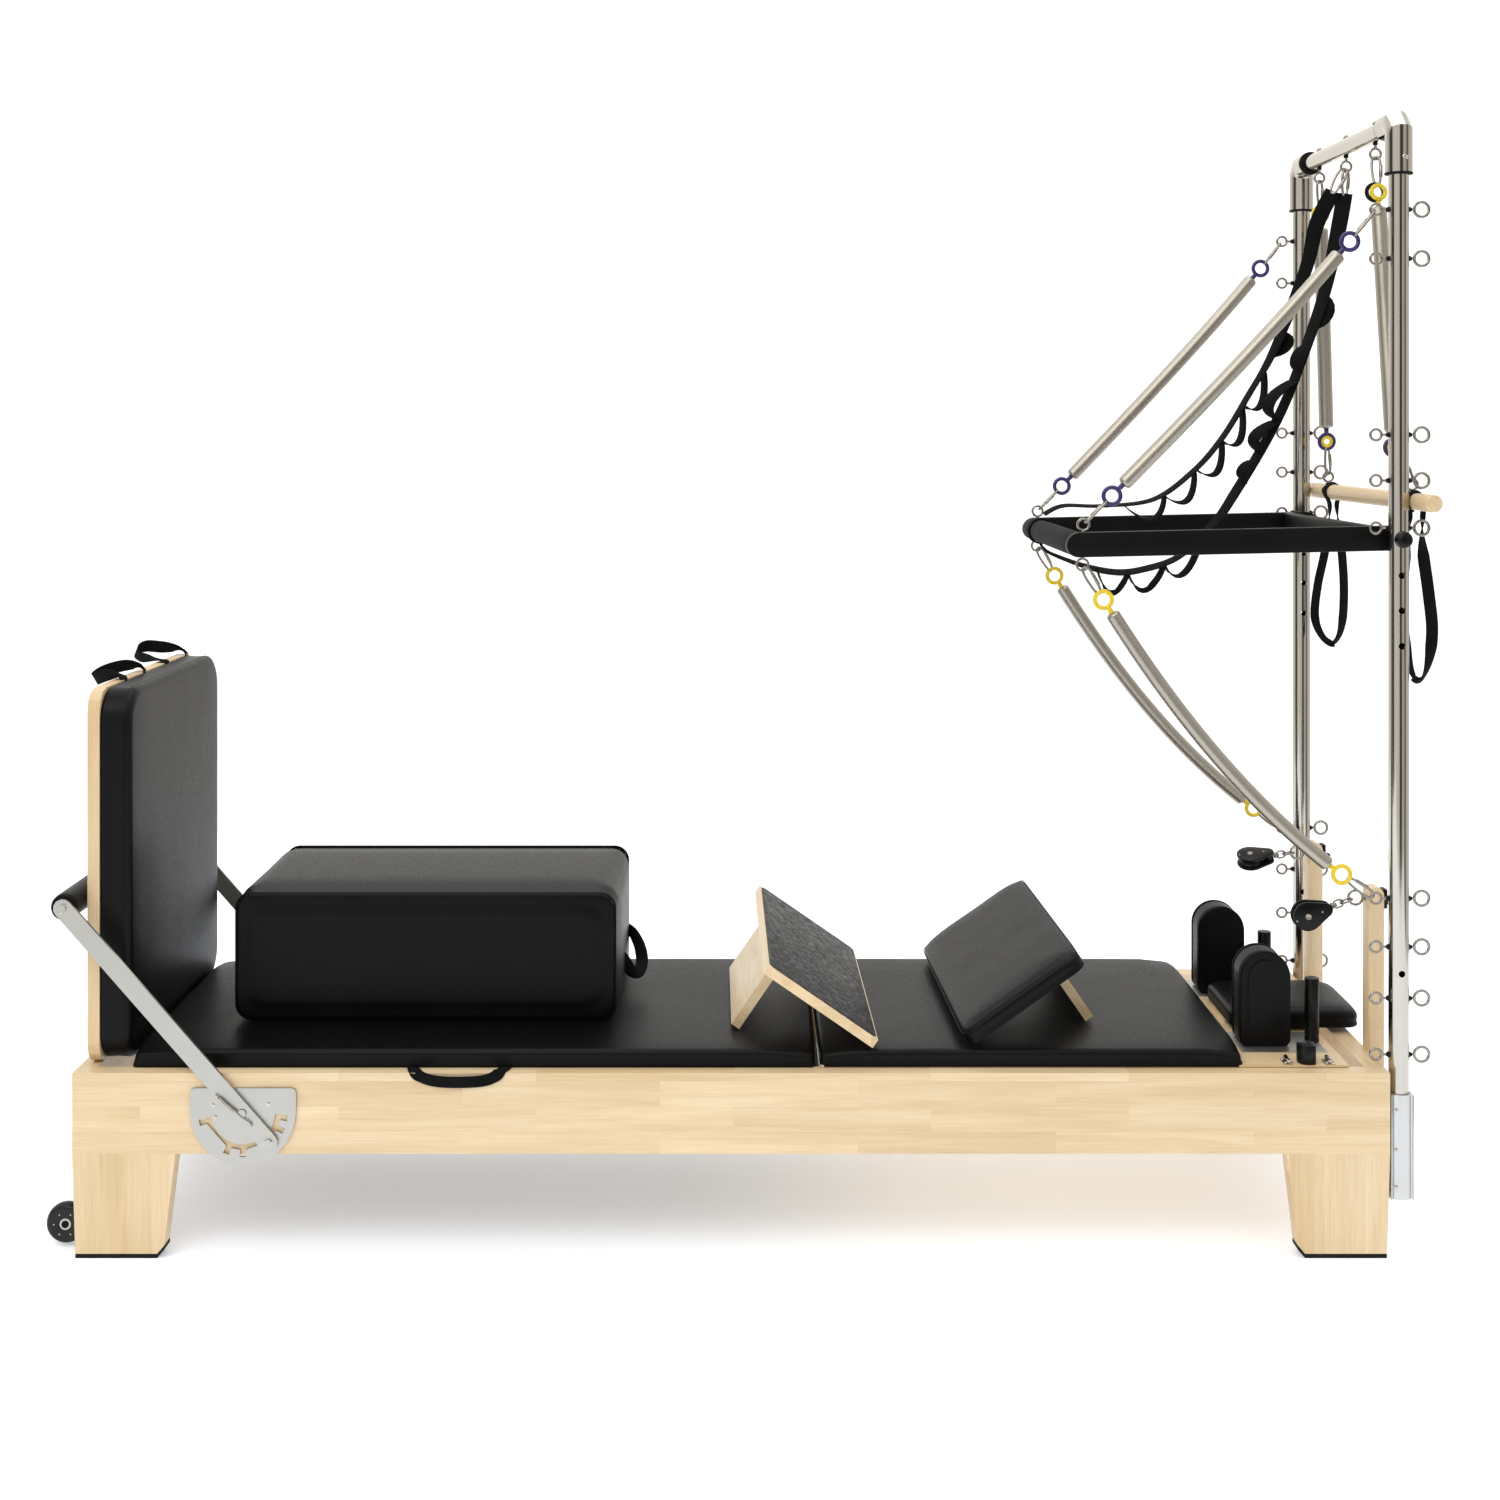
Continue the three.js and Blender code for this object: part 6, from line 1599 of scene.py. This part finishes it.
def strap_piece(name, route, tilts, loops, node):
    """A web that turns from face on to edge on, as tilts say, with its loops."""
    line = smooth_line([Vector(p) for p in route], 14)
    points, length = evenly(line, STRAP_STEPS)

    def tangent_at(i):
        return (points[min(i + 1, STRAP_STEPS)] - points[max(i - 1, 0)]).normalized()

    def across_at(i, degrees):
        plane = tangent_at(i).cross(Y).normalized()
        turn = math.radians(degrees)
        return Y * math.cos(turn) + plane * math.sin(turn)

    def tilt(share):
        for (here, low), (there, high) in zip(tilts, tilts[1:]):
            if share <= there:
                return low + (high - low) * (share - here) / (there - here)
        return tilts[-1][1]

    across = [across_at(i, tilt(i / STRAP_STEPS)) for i in range(STRAP_STEPS + 1)]
    section = band_section(STRAP_WIDTH, WEB_THICKNESS)
    shape = Shape().sweep(points, section, across)
    for first_share, last_share, bulge, degrees in loops:
        first, last = round(first_share * STRAP_STEPS), round(last_share * STRAP_STEPS)
        loop, loop_across = [], []
        for i in range(first, last + 1):
            t = (i - first) / (last - first)
            swell = math.sin(math.pi * t) ** 0.8
            loop.append(points[i] + bulge * swell + bulge.normalized() * WEB_THICKNESS)
            near_across = across_at(i, tilt(i / STRAP_STEPS))
            loop_across.append(near_across.lerp(across_at(i, degrees), swell).normalized())
        shape.sweep(loop, section, loop_across)
    thing = shape.piece(name, None, "webbing", (node,), sharp=50)
    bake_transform(thing)


strap_piece("loop_strap_upper", UPPER_ROUTE, UPPER_TILT, UPPER_LOOPS, "multi_loop_strap_upper")
strap_piece("loop_strap_lower", LOWER_ROUTE, LOWER_TILT, LOWER_LOOPS, "multi_loop_strap_lower")
hooks = Shape()
eye = Vector((UPRIGHT_X, 0, CROSSBAR_EYE_Z))
for top, swing in ((UPPER_ROUTE[0], -35), (LOWER_ROUTE[0], 35)):
    down = (Vector(top) - eye).normalized()
    hooks.join(snap_hook(eye + down * HOOK_START, Vector(top) + down * 4, swung(swing), 11, 7.5))
hooks.piece("strap_hooks", "frame", "chrome", material=NICKEL)

# The straps' wrap round the push bar's grip
WRAP_PLACE, WRAP_RADIUS, WRAP_THICKNESS = 182, 25.4, 3.2
wrap = circle(push_point(PUSH_REACH, 0, WRAP_PLACE), X, Z, WRAP_RADIUS, 36)
wrap_band = Shape().sweep(wrap, band_section(STRAP_WIDTH, WRAP_THICKNESS), Y, loops=True)
wrap_band.piece("strap_wrap", "push_bar", "webbing", sharp=50)

# Floor, light and camera
FLOOR_REACH = 3.2
floor_mesh = bpy.data.meshes.new("floor")
corners = [(FLOOR_REACH * x, FLOOR_REACH * y, 0) for x, y in ((-1, -1), (1, -1), (1, 1), (-1, 1))]
floor_mesh.from_pydata(corners, [], [(0, 1, 2, 3)])
floor = bpy.data.objects.new("floor", floor_mesh)
bpy.context.scene.collection.objects.link(floor)
paper = Graph("paper", grey(0.93), 0.9, specular=0.1)
mottle = paper.noise(paper.place(), 1.3, 2, 0.4)
paper.to("Base Color", paper.ramp(mottle, [(0.3, (0.88, 0.92, 0.985)), (0.7, (0.9, 0.94, 1.0))]))
paper.shader.inputs["Emission Color"].default_value = (1, 1, 1, 1)
paper.shader.inputs["Emission Strength"].default_value = 0.36
floor_mesh.materials.append(paper.material)
floor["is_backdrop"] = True


# Brightness by direction, from behind the camera round past the foot end, the back and the tower end
STUDIO_STRIPES = [(0.0, 0.06), (0.015, 0.06), (0.035, 0.7), (0.16, 0.78), (0.19, 0.6), (0.205, 0.06),
                  (0.265, 0.06), (0.285, 0.45), (0.36, 0.8), (0.42, 1.0), (0.58, 1.0), (0.64, 0.7),
                  (0.8, 0.65), (0.825, 0.15), (0.86, 0.15), (0.88, 0.5), (0.94, 0.55), (0.96, 0.06),
                  (1.0, 0.06)]
# From the first height to the second, the stripes fade to the room's plain grey
STRIPES_FADE = (0.3, 0.5)
ROOM_LEVEL = 0.82
WORLD_STRENGTH = 1.25


def studio_world():
    """White for the camera. What shines sees a grey room, with upright stripes low round it."""
    world = bpy.data.worlds.new("studio")
    bpy.context.scene.world = world
    world.use_nodes = True
    tree = world.node_tree

    def node(kind, *sources, **values):
        made = tree.nodes.new("ShaderNode" + kind)
        for key, value in values.items():
            setattr(made, key, value)
        for socket, source in zip(made.inputs, sources):
            tree.links.new(source, socket)
        return made

    def share_of(source, low, high):
        """Where a value lies between two others, from 0 to 1."""
        made = node("MapRange", source)
        made.inputs["From Min"].default_value = low
        made.inputs["From Max"].default_value = high
        return made.outputs[0]

    def mixed(factor, first, level):
        """From another node's colour to a grey."""
        made = node("Mix", data_type="RGBA")
        tree.links.new(factor, made.inputs[0])
        tree.links.new(first, made.inputs[6])
        made.inputs[7].default_value = (*grey(level), 1)
        return made.outputs[2]

    split = node("SeparateXYZ", node("TexCoord").outputs["Generated"])
    azimuth = node("Math", split.outputs[0], split.outputs[1], operation="ARCTAN2")
    ramp = node("ValToRGB", share_of(azimuth.outputs[0], -math.pi, math.pi))
    elements = ramp.color_ramp.elements
    while len(elements) < len(STUDIO_STRIPES):
        elements.new(0.5)
    for element, (place, tone) in zip(elements, STUDIO_STRIPES):
        element.position = place
        element.color = (tone, tone * 0.97, tone * 0.92, 1)
    room = mixed(share_of(split.outputs[2], *STRIPES_FADE), ramp.outputs[0], ROOM_LEVEL)
    seen = mixed(node("LightPath").outputs["Is Camera Ray"], room, 1)
    background = tree.nodes["Background"]
    tree.links.new(seen, background.inputs["Color"])
    background.inputs["Strength"].default_value = WORLD_STRENGTH


def area_light(name, place, aim, width, height, power):
    data = bpy.data.lights.new(name, "AREA")
    data.shape = "RECTANGLE"
    data.size, data.size_y = width, height
    data.energy = power
    lamp = bpy.data.objects.new(name, data)
    lamp.location = place
    lamp.rotation_euler = (Vector(aim) - Vector(place)).to_track_quat("-Z", "Y").to_euler()
    bpy.context.scene.collection.objects.link(lamp)


studio_world()
area_light("key", (-1.6, -3.2, 4.6), (0, 0, 0.6), 3.5, 2.5, 72)
area_light("top", (0.4, 0.6, 5.2), (0, 0, 0.4), 4.5, 3.0, 66)
bpy.context.scene.view_settings.view_transform = "Standard"

# A level camera, shifted down: its place is in millimetres like the shapes
CAMERA_PLACE = Vector((1225.4, -3789, 1518.6))
CAMERA_LENS = 45.6
CAMERA_SHIFT = (0.0033, -0.2173)
camera_data = bpy.data.cameras.new("camera")
camera = bpy.data.objects.new("camera", camera_data)
camera.location = metres(CAMERA_PLACE)
camera.rotation_euler = (math.pi / 2, 0, 0)
camera_data.sensor_width = 36
camera_data.lens = CAMERA_LENS
camera_data.shift_x, camera_data.shift_y = CAMERA_SHIFT
camera_data.clip_end = 100
bpy.context.scene.collection.objects.link(camera)
bpy.context.scene.camera = camera

low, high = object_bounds()
{"cad": [list(cad_low), list(cad_high)], "visual": [list(low), list(high)]}
